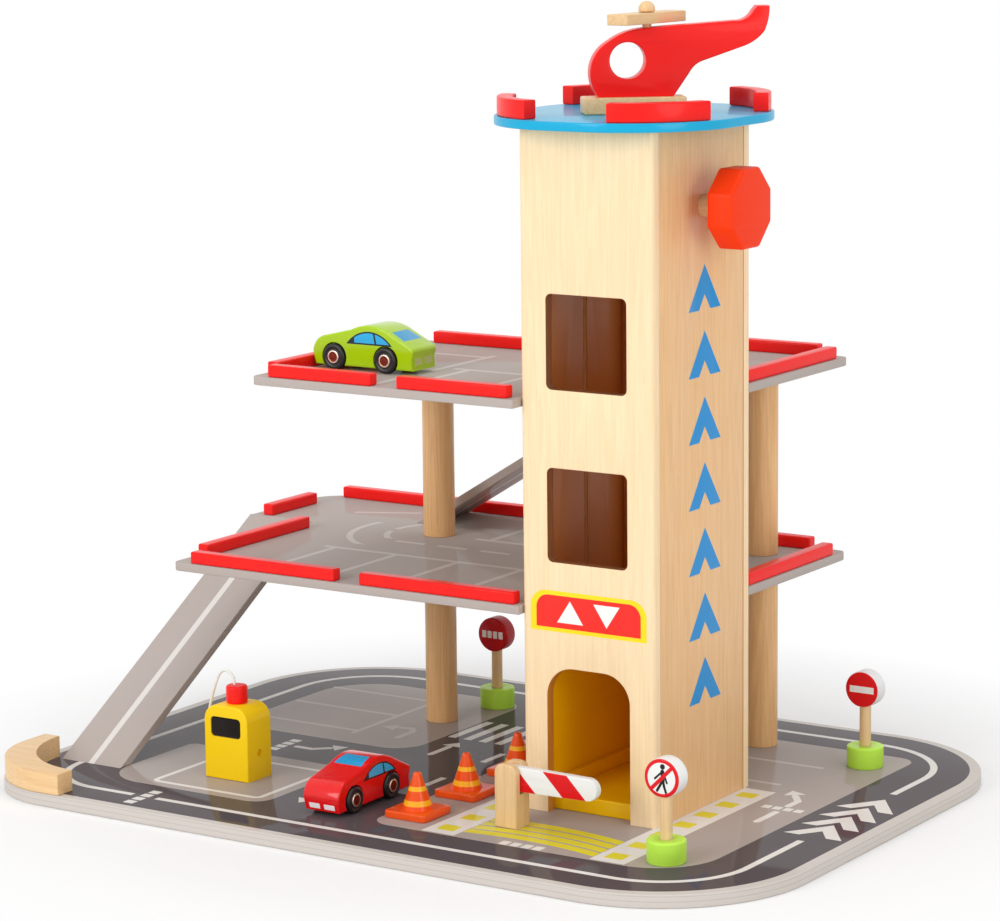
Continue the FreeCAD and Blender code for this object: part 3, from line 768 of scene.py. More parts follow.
def base_print(shader: Shader) -> Sock:
    """Roads, islands, bays and marks printed on the base board."""
    x, y = shader.x, shader.y
    top = shader.above(shader.z, 8.6, 0.1)
    ring = shader.corner_radius(x, y, (0, 0), (58, 98, 98, 98))
    road = shader.rect(x, y, (-292, -213), (292, 213), ring)
    turns = shader.corner_radius(x, y, (0, 0), (50, 62, 68, 66))
    middle = shader.frame(x, y, (-262.5, -189), (265.5, 188), turns, 5)
    middle = middle & ~shader.rect(x, y, (240, -56), (290, 74)) \
        & ~shader.rect(x, y, (-177, -200), (-157, -180))
    bays = shader.rect(x, y, (-241, 1), (-82, 162),
                       shader.corner_radius(x, y, (-160, 80), (14, 24, 24, 46)))
    pump = shader.rect(x, y, (-228, -163), (-88, -58),
                       shader.corner_radius(x, y, (-160, -110), (34, 14, 6, 6)))
    town = shader.rect(x, y, (0, -163), (240, 163),
                       shader.corner_radius(x, y, (120, 0), (15, 46, 14, 14)))
    colour = shader.mix(road & top, BOARD_EDGE, ROAD)
    colour = shader.mix((bays | pump | town) & top, colour, ISLAND)

    faint = shader.stroke(x, y, (-146, 26), (-146, 158), 4)
    for level in (32, 83, 132):
        faint = faint | shader.stroke(x, y, (-238, level), (-148, level), 4)
    for level, start, end in ((110, 126, 192), (57, 140, 187)):
        faint = faint | shader.stroke(x, y, (start, level), (end, level), 4)
    faint = faint | (shader.stroke(x, y, (-110, 30), (-110, 50), 5)
                     | shader.stroke(x, y, (-110, 50), (-116, 57), 5)
                     | arrow(shader, x, y, (-116, 57), (-138, 51), 5))
    colour = shader.mix(faint & top, colour, FAINT)

    white = middle | shader.frame(x, y, (-188, -153), (-98, -74), 5, 4)
    for k in range(6):
        white = white | shader.rect(x, y, (-80 + 13.2 * k, 50), (-73.4 + 13.2 * k, 101))
    for low, high in ((3, 30), (-68, -45)):
        white = white | shader.rect(x, y, (-21.5, low), (-16.5, high))
    white = white | arrow(shader, x, y, (-63, 3), (-63, 40), 5) \
        | arrow(shader, x, y, (-68, -112), (-68, -148), 5)
    white = white | shader.stroke(x, y, (-157, -28), (-144, -28), 5) \
        | arrow(shader, x, y, (-144, -28), (-124, -11), 5)
    white = white | shader.stroke(x, y, (219, -31), (219, -5), 5) \
        | shader.stroke(x, y, (219, 12), (219, 26), 5) \
        | arrow(shader, x, y, (219, 26), (203, 48), 5)
    white = white | word_bars(shader, x, y, (-171, -209), (-163, -173), 4) \
        | word_bars(shader, x, y, (-172, -45), (-164, -11), 4) \
        | word_bars(shader, x, y, (203, 1), (235, 8), 4) \
        | word_bars(shader, x, y, (100, -162), (134, -154), 4)
    for k in range(4):
        apex = 59.5 - 24.4 * k
        drop = abs(x - 267) * 1.42
        white = white | (shader.between(y + drop, apex - 16, apex) & shader.above(y, apex - 30))
    for left in (41.0, 170.0):
        white = white | shader.rect(x, y, (left, -161), (left + 25.5, 38))
    layers = shader.between(shader.z, 4.2, 4.7) | shader.between(shader.z, 7.6, 8.1)
    colour = shader.mix(layers & ~top, colour, shader.tint(colour, 0.82))
    colour = shader.mix(white & top, colour, MARK)

    row = abs(shader.math("PINGPONG", y + 147, 14.15))
    tiles = shader.inside(row - 6.2) & shader.between(y, -156, 28)
    yellow = (shader.between(x, 47, 60.5) | shader.between(x, 175.5, 189)) & tiles
    arch = (1 - (x - 108) * (x - 108) / 2700) * 6
    for k in range(4):
        level = -149 + 10.2 * k
        yellow = yellow | (shader.between(y - arch, level - 4.1, level + 4.1)
                           & shader.between(x, 67, 169.5))
    return shader.mix(yellow & top, colour, SIGNAL)


def lower_deck_print(shader: Shader) -> Sock:
    """Bays and lane marks printed on the lower deck."""
    x, y = shader.x, shader.y
    top = shader.above(shader.z, 147.2, 0.1)
    marks = shader.rect(x, y, (-160, 12), (10, 17))
    for k in range(4):
        left = -153 + 53 * k
        marks = marks | shader.rect(x, y, (left, -80), (left + 5, 17))
    for k in range(7):
        left = -126 + 36.5 * k
        marks = marks | shader.rect(x, y, (left, 52.5), (left + 25, 57.5))
    marks = marks | (shader.rect(x, y, (-80, 87), (66, 92)))
    for left in (-70, -17, 36):
        marks = marks | shader.rect(x, y, (left, 90), (left + 5, 172))
    curve = shader.far(x, y, (-110, 92))
    marks = marks | (shader.inside(abs(curve - 68) - 2.4) & shader.between(y, 32, 108)
                     & shader.inside(x + 120))
    marks = marks | (shader.inside(abs(curve - 41) - 2.4) & shader.between(y, 60, 84)
                     & shader.inside(x + 120)) \
        | (shader.inside(abs(curve - 41) - 2.4) & shader.between(y, 92, 116)
           & shader.inside(x + 120))
    marks = marks | shader.stroke(x, y, (-214, 131), (-172, 151), 5)
    base = shader.plain(DECK)
    return shader.mix(marks & top, base, LANE)


def upper_deck_print(shader: Shader) -> Sock:
    """Bay lines printed on the upper deck."""
    x, y = shader.x, shader.y
    top = shader.above(shader.z, 285.7, 0.1)
    marks = shader.rect(x, y, (-51, -80), (-46, 70)) | shader.rect(x, y, (-106, 58), (-48, 63)) \
        | shader.rect(x, y, (-40, 3), (62, 8))
    for left in (-30, 22):
        marks = marks | shader.rect(x, y, (left, -80), (left + 5, 8))
    base = shader.plain(DECK)
    return shader.mix(marks & top, base, LANE)


def ramp_print(along: str, middle: float, stop: float) -> Callable[[Shader], Sock]:
    """White line down the middle of a ramp that runs along one axis, up to a height."""
    def picture(shader: Shader) -> Sock:
        """Colour of the ramp."""
        across = shader.x if along == "y" else shader.y
        base = shader.plain(DECK)
        line = shader.between(across, middle - 2.5, middle + 2.5) & shader.inside(shader.z - stop)
        return shader.mix(line, base, MARK)
    return picture


@dataclass
class BaseBoard:
    """Printed base board with the stopper at its small corner."""

    corner: float = 105.0
    small_corner: float = 64.0
    hollow: float = 68.0
    edge: float = 1.2
    stopper_edge: float = 0.8
    stopper_inset: float = 0.8
    hollow_below: float = 5.0
    hollow_height: float = 30.0

    def build(self) -> None:
        """Make both pieces."""
        box = Box.of("base_board")
        (a, b), (c, d) = box.low.xy, box.high.xy
        outline = rounded([(a, b, self.small_corner), (c, b, self.corner), (c, d, self.corner),
                           (a, d, self.corner)], 24)
        printed = Paint("base_print", ISLAND, Grain.ALONG_X, 0.4, 0.35, 0.03, 0.008, 0.0)
        plate("base_board", [outline], box.low.z, box.high.z, self.edge, FLAT, 3).done(
            printed.finish(base_print), "garage", "base_print", "base_board")
        stop = Box.of("corner_stopper")
        (a, b), (c, d) = stop.low.xy, stop.high.xy
        outline = rounded([(a, b, self.small_corner - self.stopper_inset), (c, b, 0), (c, d, 0),
                           (a, d, 0)], 24)
        middle = Vector((c, d, stop.low.z - self.hollow_below))
        block = plate("corner_stopper", [outline], stop.low.z, stop.high.z, self.stopper_edge)
        top = middle + Vector((0, 0, self.hollow_height))
        hollow = rod("hollow", self.hollow, middle, top, 0.1, 0, 128)
        block.minus(hollow).done(BEECH.finish(), "garage", "beech", "corner_stopper")


@dataclass
class Decks:
    """Both decks with their ramps, kerb rails and posts."""

    corner: float = 6.0
    wing_corner: float = 28.0
    gap: float = 0.3
    rail_edge: float = 1.3
    ramp_edge: float = 0.6
    board_edge: float = 0.7
    thickness: float = 6.0
    ramp_gap: float = 8.0
    upper_step: float = 74.0
    line_top: float = 135.0

    def build(self) -> None:
        """Make every piece of the decks."""
        self.boards()
        self.ramps()
        for node in ("rails_lower_front", "rails_lower_sides", "rails_lower_rear",
                     "rails_upper_front", "rails_upper_sides", "rails_upper_rear"):
            self.rails(node)
        material = DOWEL.finish()
        for node in ("pillars_lower", "pillars_upper"):
            self.posts(node, material)

    def boards(self) -> None:
        """L-shaped boards, notched round the tower."""
        tower = Box.of("tower_left_panel").low.x - self.gap
        back = Box.of("tower_back_panel").high.y + self.gap
        lower, upper = Box.of("deck_lower"), Box.of("deck_upper")
        ramp, rise = Box.of("ramp_lower"), Box.of("ramp_upper")
        low_left = ramp.high.x + self.ramp_gap
        outline = [
            (low_left, lower.low.y, self.corner), (tower, lower.low.y, 0), (tower, back, 0),
            (lower.high.x, back, 0), (lower.high.x, lower.high.y, self.corner),
            (lower.low.x, lower.high.y, self.wing_corner), (lower.low.x, ramp.high.y, 0),
            (low_left, ramp.high.y, 0)]
        paint = board_paint("lower_deck_print")
        plate("deck_lower", [rounded(outline)], lower.low.z, lower.high.z, self.board_edge).done(
            paint.finish(lower_deck_print), "garage", "deck_print", "deck_lower")
        step = upper.high.y - self.upper_step
        outline = [
            (upper.low.x, upper.low.y, self.corner), (tower, upper.low.y, 0), (tower, back, 0),
            (upper.high.x, back, 0), (upper.high.x, upper.high.y, self.corner),
            (rise.high.x, upper.high.y, self.corner), (rise.high.x, step, 0),
            (upper.low.x, step, self.corner)]
        paint = board_paint("upper_deck_print")
        plate("deck_upper", [rounded(outline)], upper.low.z, upper.high.z, self.board_edge).done(
            paint.finish(upper_deck_print), "garage", "deck_print", "deck_upper")

    def ramps(self) -> None:
        """Sloping boards with bevelled feet."""
        for node, along in (("ramp_lower", "y"), ("ramp_upper", "x")):
            box = Box.of(node)
            run = box.size.y if along == "y" else box.size.x
            rise = box.size.z
            start = box.low.y if along == "y" else box.low.x
            side = (box.low.x, box.high.x) if along == "y" else (-box.high.y, -box.low.y)
            under = self.thickness / math.cos(math.atan2(rise, run))
            toe = under * run / rise
            outline = [(start, box.low.z), (start + toe, box.low.z),
                       (start + run, box.high.z - under), (start + run, box.high.z)]
            plane = SIDEWAYS if along == "y" else UPRIGHT
            paint = board_paint(node + "_print", Grain.ALONG_Y if along == "y" else Grain.ALONG_X)
            middle = box.middle.x if along == "y" else box.middle.y
            picture = ramp_print(along, middle, self.line_top if along == "y" else WHOLE_RAMP)
            plate(node, [outline], *side, self.ramp_edge, plane).done(
                paint.finish(picture), "garage", "deck_print", node)

    def rails(self, node: str) -> None:
        """One object for each bar of a rail node."""
        for k, box in enumerate(islands(node)):
            long_x = box.size.x > box.size.y
            paint = Paint(f"{node}_{k}_paint", RED.colour, Grain.ALONG_X if long_x else Grain.ALONG_Y)
            bar(f"{node}_{k}", box, self.rail_edge).done(
                paint.finish(), "garage", "red_paint", *first_only(node, k))

    def posts(self, node: str, material: bpy.types.Material) -> None:
        """Two turned posts."""
        for k, box in enumerate(islands(node)):
            low = Vector((box.middle.x, box.middle.y, box.low.z))
            high = Vector((box.middle.x, box.middle.y, box.high.z))
            rod(f"{node}_{k}", box.size.x / 2, low, high, 0.6).done(
                material, "garage", "turned_wood", *first_only(node, k))


def plaque_print(shader: Shader, base: Sock) -> Sock:
    """Red sign with a yellow border and two plain arrows, over the door."""
    x, z = shader.x, shader.z
    front = shader.inside(shader.y + 81.5, 0.2)
    mid = 121.5
    outer = shader.rect(x, z, (mid - 44.5, 132.5), (mid + 44.5, 160), 12) \
        | shader.rect(x, z, (mid - 44.5, 132.5), (mid + 44.5, 145), 0.8)
    inner = shader.rect(x, z, (mid - 40, 135.2), (mid + 40, 157), 9) \
        | shader.rect(x, z, (mid - 40, 135.2), (mid + 40, 146), 0.6)
    marks = shader.convex(x, z, [(mid - 24, 139), (mid - 4, 139), (mid - 14, 154)]) \
        | shader.convex(x, z, [(mid + 14, 139), (mid + 24, 154), (mid + 4, 154)])
    base = shader.mix(outer & front, base, srgb(255, 222, 16))
    base = shader.mix(inner & front, base, srgb(248, 34, 22))
    return shader.mix(marks & front, base, srgb(250, 246, 242))


def blue_column(shader: Shader, base: Sock) -> Sock:
    """Column of plain blue arrowheads on the tower's right side."""
    y, z = shader.y, shader.z
    side = shader.above(shader.x, 171.0, 0.2)
    marks: Sock | None = None
    for k in range(7):
        low = 81.5 + 43.6 * k
        head = shader.convex(y, z, [(-37, low), (5, low), (-16, low + 30)])
        notch = shader.convex(y, z, [(-24, low - 1), (-8, low - 1), (-16, low + 10)])
        mark = head & ~notch
        marks = mark if marks is None else marks | mark
    return shader.mix(marks & side, base, srgb(0, 140, 208))


@dataclass
class Tower:
    """Four panels round the lift shaft."""

    door_width: float = 63.5
    door_height: float = 99.5
    door_radius: float = 20.0
    window: float = 61.0
    window_height: float = 62.7
    window_radius: float = 4.0
    window_levels: tuple[float, float] = (170.0, 284.4)
    groove: float = 5.0
    groove_depth: float = 4.0
    groove_at: float = -14.0
    shaft_hole: float = 7.06
    panel_edge: float = 0.5
    front_corner: float = 3.5
    arc_depth: float = 0.293
    groove_top: float = 60.0
    edge_reach: float = 1.4
    jamb_top: float = 5.0
    roof_clear: float = 20.0

    def build(self) -> None:
        """Make the four panels and the laser-dark edges of the openings, whose brown is partly painted
        shade.
        """
        self.front()
        self.back()
        for node in ("tower_left_panel", "tower_right_panel"):
            self.side(node)

    def arch(self, middle: float, low: float) -> list[Point]:
        """Outline of a doorway."""
        half, radius = self.door_width / 2, self.door_radius
        high = low + self.door_height
        return rounded([(middle - half, low, 0), (middle + half, low, 0),
                        (middle + half, high, radius), (middle - half, high, radius)])

    def front(self) -> None:
        """Front panel with door, windows and plaque."""
        box = Box.of("tower_front_panel")
        mid = box.middle.x
        (x0, z0), (x1, z1) = (box.low.x, box.low.z), (box.high.x, box.high.z)
        door = self.arch(mid, z0)
        # the open-bottomed door is part of the outer outline
        outline = [(x0, z0), (door[0][0], z0), *reversed(door[2:]), (door[1][0], z0),
                   (x1, z0), (x1, z1), (x0, z1)]
        half = self.window / 2
        windows = [rect((mid - half, z0 + level), (mid + half, z0 + level + self.window_height),
                        self.window_radius) for level in self.window_levels]
        panel = plate("tower_front_panel", [outline, *windows], -box.high.y, -box.low.y,
                      self.panel_edge, UPRIGHT)
        corner = self.front_corner
        for side, x in ((1, x0), (-1, x1)):
            profile = [(x - side, box.low.y - 1), (x + side * corner, box.low.y - 1)]
            arc = through((x + side * corner, box.low.y),
                          (x + side * corner * self.arc_depth,
                           box.low.y + corner * self.arc_depth),
                          (x, box.low.y + corner), 8)
            cutter = plate("corner", [[profile[0], profile[1], *arc, (x, box.low.y + corner),
                                       (x - side, box.low.y + corner)]], z0 - 1, z1 + 1, 0.01)
            panel.minus(cutter)
        material = PLY.finish(plaque_print)
        made = panel.done(material, "garage", "plywood", "tower_front_panel")
        self.darken(made, lambda c: abs(c.x - mid) < half + self.edge_reach
                    and z0 < c.z < z1 - self.roof_clear)
        # painted light: the door's cut edges get a lighter brown than the other laser-cut edges
        made.data.materials.append(
            Wood("door_edge_painted_light", srgb(214, 146, 62), srgb(176, 108, 36)).finish())
        door_top = z0 + self.door_height + self.jamb_top
        for polygon in made.data.polygons:
            if polygon.material_index == 1 and polygon.center.z / MM < door_top:
                polygon.material_index = 2

    def darken(self, made: bpy.types.Object, picked: Callable[[Vector], bool]) -> None:
        """Give the cut inner edges of openings the brown of a laser cut, made darker by painted shade
        inside the openings.
        """
        made.data.materials.append(BURN_AND_SHADE_EDGE)
        for polygon in made.data.polygons:
            inward = abs(polygon.normal.y) < 0.5
            if inward and picked(polygon.center / MM):
                polygon.material_index = 1

    def back(self) -> None:
        """Back panel with an exit at each deck."""
        box = Box.of("tower_back_panel")
        mid = box.middle.x
        outline = rect((box.low.x, box.low.z), (box.high.x, box.high.z))
        levels = (Box.of("deck_lower").high.z, Box.of("deck_upper").high.z)
        exits = [self.arch(mid, level) for level in levels]
        panel = plate("tower_back_panel", [outline, *exits], -box.high.y, -box.low.y,
                      self.panel_edge, UPRIGHT)

        def shade(shader: Shader, base: Sock) -> Sock:
            """Painted shade: brown on the side that faces the shaft."""
            return shader.mix(shader.inside(shader.y - box.low.y - 1), base, SHAFT_PAINTED_SHADE)

        made = panel.done(Wood("plywood_back", PLY.pale, PLY.dark).finish(shade), "garage",
                          "plywood", "tower_back_panel")
        self.darken(made, lambda c: abs(c.x - mid) < self.door_width / 2 + 1
                    and levels[0] - 1 < c.z < box.high.z - self.roof_clear)

    def side(self, node: str) -> None:
        """Side panel with its guide groove and the hole for the crank shaft."""
        box = Box.of(node)
        shaft = Box.of("crank_shaft").middle
        outline = rect((box.low.y, box.low.z), (box.high.y, box.high.z))
        hole = circle((shaft.y, shaft.z), self.shaft_hole, 64)
        panel = plate(node, [outline, hole], box.low.x, box.high.x, 0.25, SIDEWAYS, 1)
        inner = box.high.x if node.endswith("left_panel") else box.low.x
        cut = Box(Vector((inner - self.groove_depth, self.groove_at - self.groove / 2, box.low.z - 5)),
                  Vector((inner + self.groove_depth, self.groove_at + self.groove / 2,
                          box.high.z - self.groove_top)))
        panel.minus(bar("groove", cut, 0.05))
        outer = 1.0 if node.endswith("right_panel") else -1.0

        def picture(shader: Shader, base: Sock) -> Sock:
            """Arrowheads outside on the right, brown painted shade inside."""
            if outer > 0:
                base = blue_column(shader, base)
            return shader.mix(shader.above((shader.x - inner) * outer, 1.0), SHAFT_PAINTED_SHADE, base)

        # darker, more saturated copy of the plywood on the side panels: painted shade
        wood = Wood(node + "_wood", srgb(240, 196, 144), srgb(222, 174, 120))
        panel.done(wood.finish(picture), "garage", "plywood", node)


@dataclass
class Crank:
    """Octagonal knob on a shaft, two collars and the winding cord."""

    knob_edge: float = 2.2
    skin: float = 6.0
    strands: int = 3
    strand_share: float = 0.55
    pitch: float = 7.0
    cord_steps: int = 160

    def build(self) -> None:
        """Make the shaft, collars, knob and cord."""
        box = Box.of("crank_shaft")
        low = Vector((box.low.x, box.middle.y, box.middle.z))
        high = Vector((box.high.x, box.middle.y, box.middle.z))
        radius = box.size.y / 2
        rod("crank_shaft", radius, low, high, 0.8).done(
            BEECH.finish(), "crank", "beech", "crank_shaft")
        for k, collar in enumerate(islands("crank_collars")):
            a = Vector((collar.low.x, low.y, low.z))
            b = Vector((collar.high.x, low.y, low.z))
            rod(f"crank_collar_{k}", collar.size.y / 2, a, b, 0.9, radius).done(
                BEECH.finish(), "crank", "beech", *first_only("crank_collars", k))
        self.knob(low, radius)
        self.cord()

    def knob(self, centre: Vector, bore: float) -> None:
        """Octagonal knob with softly rounded edges and a blind bore."""
        box = Box.of("crank_knob")
        reach = box.size.y / 2 / math.cos(math.pi / 8)
        corners = [(centre.y + reach * math.cos(math.pi / 8 + math.pi / 4 * k),
                    centre.z + reach * math.sin(math.pi / 8 + math.pi / 4 * k), self.knob_edge * 1.6)
                   for k in range(8)]
        body = plate("crank_knob", [rounded(corners, 16)], box.low.x, box.high.x, self.knob_edge,
                     SIDEWAYS, 4)
        start = Vector((box.low.x - 2, centre.y, centre.z))
        end = Vector((box.high.x - self.skin, centre.y, centre.z))
        body.minus(rod("bore", bore, start, end, 0.05))
        body.done(ORANGE.finish(), "crank", "orange_paint", "crank_knob")

    def cord(self) -> None:
        """Twisted winding cord, built at its full length."""
        box = Box.of("lift_cord")
        radius = box.size.x / 2
        strand, height = radius * self.strand_share, box.size.z
        mesh = bmesh.new()
        for k in range(self.strands):
            turn = Matrix.Rotation(math.tau * k / self.strands, 4, "Z")
            ring = bmesh.ops.create_circle(
                mesh, radius=strand, segments=8,
                matrix=turn @ Matrix.Translation((radius - strand, 0, 0)))["verts"]
            edges = list({edge for vert in ring for edge in vert.link_edges})
            bmesh.ops.spin(mesh, geom=[*ring, *edges], cent=(0, 0, 0), axis=(0, 0, 1),
                           dvec=(0, 0, height / self.cord_steps),
                           angle=math.tau * height / self.pitch / self.strands,
                           steps=self.cord_steps, use_merge=False)
        foot = Matrix.Translation((box.middle.x, box.middle.y, box.low.z))
        made = Piece("lift_cord", mesh).turned(foot).done(
            cord_finish("lift_cord_string"), "garage", "cord", "lift_cord", smooth=60)
        travel = next(j for j in frame["joints"] if j["name"] == "lift_travel")["range_m"][1] / MM
        1 - travel / box.size.z
        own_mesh(made)


def cord_finish(name: str) -> bpy.types.Material:
    """White cotton string."""
    shader = Shader(name)
    fibre = shader.noise((2.2, 2.2, 0.5), 4.0)
    cotton = srgb(238, 238, 232)
    shader.give("Base Color", shader.tint(cotton, 0.86 + fibre * 0.2))
    shader.give("Roughness", 0.85)
    shader.give("Normal", shader.bump(fibre, 0.15))
    return shader.material


@dataclass
class Cabin:
    """Yellow lift cabin, open at both ends."""

    round_top: float = 24.0
    kerb: float = 5.0
    kerb_height: float = 9.0
    wall: float = 5.0
    tongue: float = 2.0

    def build(self) -> None:
        """Make floor, roof and both walls."""
        for node in ("cabin_floor", "cabin_roof"):
            bar(node, Box.of(node), 1.2).done(YELLOW.finish(), "lift", "yellow_paint", node)
        for node in ("cabin_left_wall", "cabin_right_wall"):
            self.side(node)

    def side(self, node: str) -> None:
        """Wall with rounded shoulders, a kerb at its foot and a guide tongue outside."""
        box, floor = Box.of(node), Box.of("cabin_floor")
        left = node == "cabin_left_wall"
        x0 = floor.low.x if left else floor.high.x - self.wall
        x1 = x0 + self.wall
        outline = rounded([(box.low.y, box.low.z, 0), (box.high.y, box.low.z, 0),
                           (box.high.y, box.high.z, self.round_top),
                           (box.low.y, box.high.z, self.round_top)])
        wall = plate(node, [outline], x0, x1, 2.2, SIDEWAYS, 4)
        k0 = x1 if left else x0 - self.kerb
        kerb = Box(Vector((k0, box.low.y, box.low.z)),
                   Vector((k0 + self.kerb, box.high.y, box.low.z + self.kerb_height)))
        wall.joined(bar("kerb", kerb, 0.6))
        groove = Tower.groove_at
        t0, t1 = (box.low.x, x0) if left else (x1, box.high.x)
        tongue = Box(Vector((t0, groove - self.tongue, box.low.z)),
                     Vector((t1, groove + self.tongue, box.high.z)))
        wall.joined(bar("tongue", tongue, 0.4))
        wall.done(YELLOW.finish(), "lift", "yellow_paint", node)


@dataclass
class Helipad:
    """Blue roof board with four red landing kerbs."""

    radius: float = 70.0
    kerb_width: float = 10.0
    kerb_inset: float = 2.0
    half_angle: float = 30.0

    def build(self) -> None:
        """Make the board and the kerbs."""
        box = Box.of("helipad_board")
        (a, b), (c, d) = box.low.xy, box.high.xy
        outline = rounded([(a, b, self.radius), (c, b, self.radius), (c, d, self.radius),
                           (a, d, self.radius)], 24)
        plate("helipad_board", [outline], box.low.z, box.high.z, 0.9, FLAT, 3).done(
            BLUE.finish(), "garage", "blue_paint", "helipad_board")
        kerbs = Box.of("helipad_curbs")
        outer = self.radius - self.kerb_inset
        inner = outer - self.kerb_width
        corners = ((-1, -1, a, b), (1, -1, c, b), (1, 1, c, d), (-1, 1, a, d))
        for k, (sx, sy, x, y) in enumerate(corners):
            cx, cy = x - sx * self.radius, y - sy * self.radius
            mid = math.atan2(sy, sx)
            spread = math.radians(self.half_angle)

            def ring(radius: float, turn: float) -> Point:
                """Point of the kerb's outline."""
                return cx + radius * math.cos(mid + turn), cy + radius * math.sin(mid + turn)

            loop = [*through(ring(outer, -spread), ring(outer, 0), ring(outer, spread), 20),
                    ring(outer, spread),
                    *through(ring(inner, spread), ring(inner, 0), ring(inner, -spread), 20),
                    ring(inner, -spread)]
            plate(f"helipad_curb_{k}", [loop], kerbs.low.z, kerbs.high.z, 1.0, FLAT, 3).done(
                RED.finish(), "garage", "red_paint", *first_only("helipad_curbs", k))


@dataclass
class Helicopter:
    """Shaped plate on a skid board, with a rotor on a mushroom peg."""

    turn: float = 39.0
    nose: float = 29.0
    window: float = 11.8
    window_at: Point = (24.6, 23.4)
    thickness: float = 14.0
    skid: tuple[float, float] = (67.0, 22.0)
    rotor: tuple[float, float] = (67.0, 16.0)
    rotor_turn: float = 86.0
    peg_from_nose: float = 38.0
    peg: float = 3.0
    head: float = 5.5

    def build(self) -> None:
        """Make all four pieces."""
        skid = Box.of("helicopter_skid")
        foot = Vector((skid.middle.x, skid.middle.y, skid.high.z))
        place = Matrix.Translation(foot) @ Matrix.Rotation(math.radians(self.turn), 4, "Z")
        self.body(place)
        half_x, half_y = self.skid[0] / 2, self.skid[1] / 2
        rise = skid.size.z
        board = bar("helicopter_skid", Box(Vector((-half_x, -half_y, -rise)),
                                           Vector((half_x, half_y, 0))), 1.2)
        wood = Wood("skid_wood", BEECH.pale, BEECH.dark, Grain.ALONG_X)
        board.turned(place).done(wood.finish(), "helicopter", "beech", "helicopter_skid")
        axis = place @ Vector((self.peg_from_nose - self.nose, 0, 0))
        self.pegged(axis)

    def outline(self) -> list[Point]:
        """Side view, measured from the nose and the skid."""
        return [
            (54.5, 0), *through((5.7, 0), (0, 15.5), (11.7, 35.5), 20),
            *through((11.7, 35.5), (22.2, 41.3), (35.6, 44.2), 8), (35.6, 44.2),
            *through((94.7, 48), (103, 50), (107, 54.5), 8), (107, 54.5), (109.4, 57.3),
            *through((117.3, 57.3), (116.4, 48), (114, 41), 8),
            *through((114, 41), (108.9, 36), (100.4, 31.5), 8), (100.4, 31.5),
            *through((74.5, 22.8), (68.8, 19.9), (65, 15.3), 8), (65, 15.3)]

    def body(self, place: Matrix) -> None:
        """The red plate with its round window."""
        loops = [[(u - self.nose, v) for u, v in self.outline()],
                 circle((self.window_at[0] - self.nose, self.window_at[1]), self.window, 64)]
        half = self.thickness / 2
        made = plate("helicopter_body", loops, -half, half, 0.8, UPRIGHT, 3)
        made.turned(place).done(RED.finish(), "helicopter", "red_paint", "helicopter_body")

    def pegged(self, axis: Vector) -> None:
        """Rotor blade and the peg that holds it."""
        blade = Box.of("rotor_blade")
        half_x, half_y = self.rotor[0] / 2, self.rotor[1] / 2
        place = Matrix.Translation((axis.x, axis.y, 0)) \
            @ Matrix.Rotation(math.radians(self.rotor_turn), 4, "Z")
        made = plate("rotor_blade", [rect((-half_x, -half_y), (half_x, half_y), 0.8),
                                     circle((0, 0), self.peg + 0.06, 32)],
                     blade.low.z, blade.high.z, 0.7, FLAT, 2)
        wood = Wood("rotor_wood", BEECH.pale, BEECH.dark, Grain.ALONG_Y)
        made.turned(place).done(wood.finish(), "rotor", "beech", "rotor_blade")
        peg = Box.of("rotor_peg")
        head = self.head
        low = blade.high.z + 0.4
        dome = [(head * math.sin(t), peg.high.z - low - 5.4 + 5.4 * math.cos(t))
                for t in (math.pi / 2 * k / 10 for k in range(11))]
        profile = [(0, peg.low.z - low), (self.peg, peg.low.z - low), (self.peg, 0), (head - 1, 0),
                   (head - 0.3, 0.3), (head, 1), *reversed(dome)]
        lathe("rotor_peg", profile, Vector((axis.x, axis.y, low)), steps=40).done(
            BEECH_UP.finish(), "helicopter", "beech", "rotor_peg", smooth=50)


def stripe_print(shader: Shader) -> Sock:
    """White arm with slanted red bands on its flat sides."""
    slant = shader.x + (shader.z - 41.5) * 0.98
    white = shader.plain(srgb(242, 242, 240))
    flat = shader.inside(abs(shader.y + 120.9) - 3.2) & shader.above(abs(shader.y + 120.9), 2.7, 0.1)
    bands = shader.between(slant, 79, 98.5) | shader.between(slant, 119.5, 137.5)
    return shader.mix(bands & flat, white, srgb(226, 12, 20))


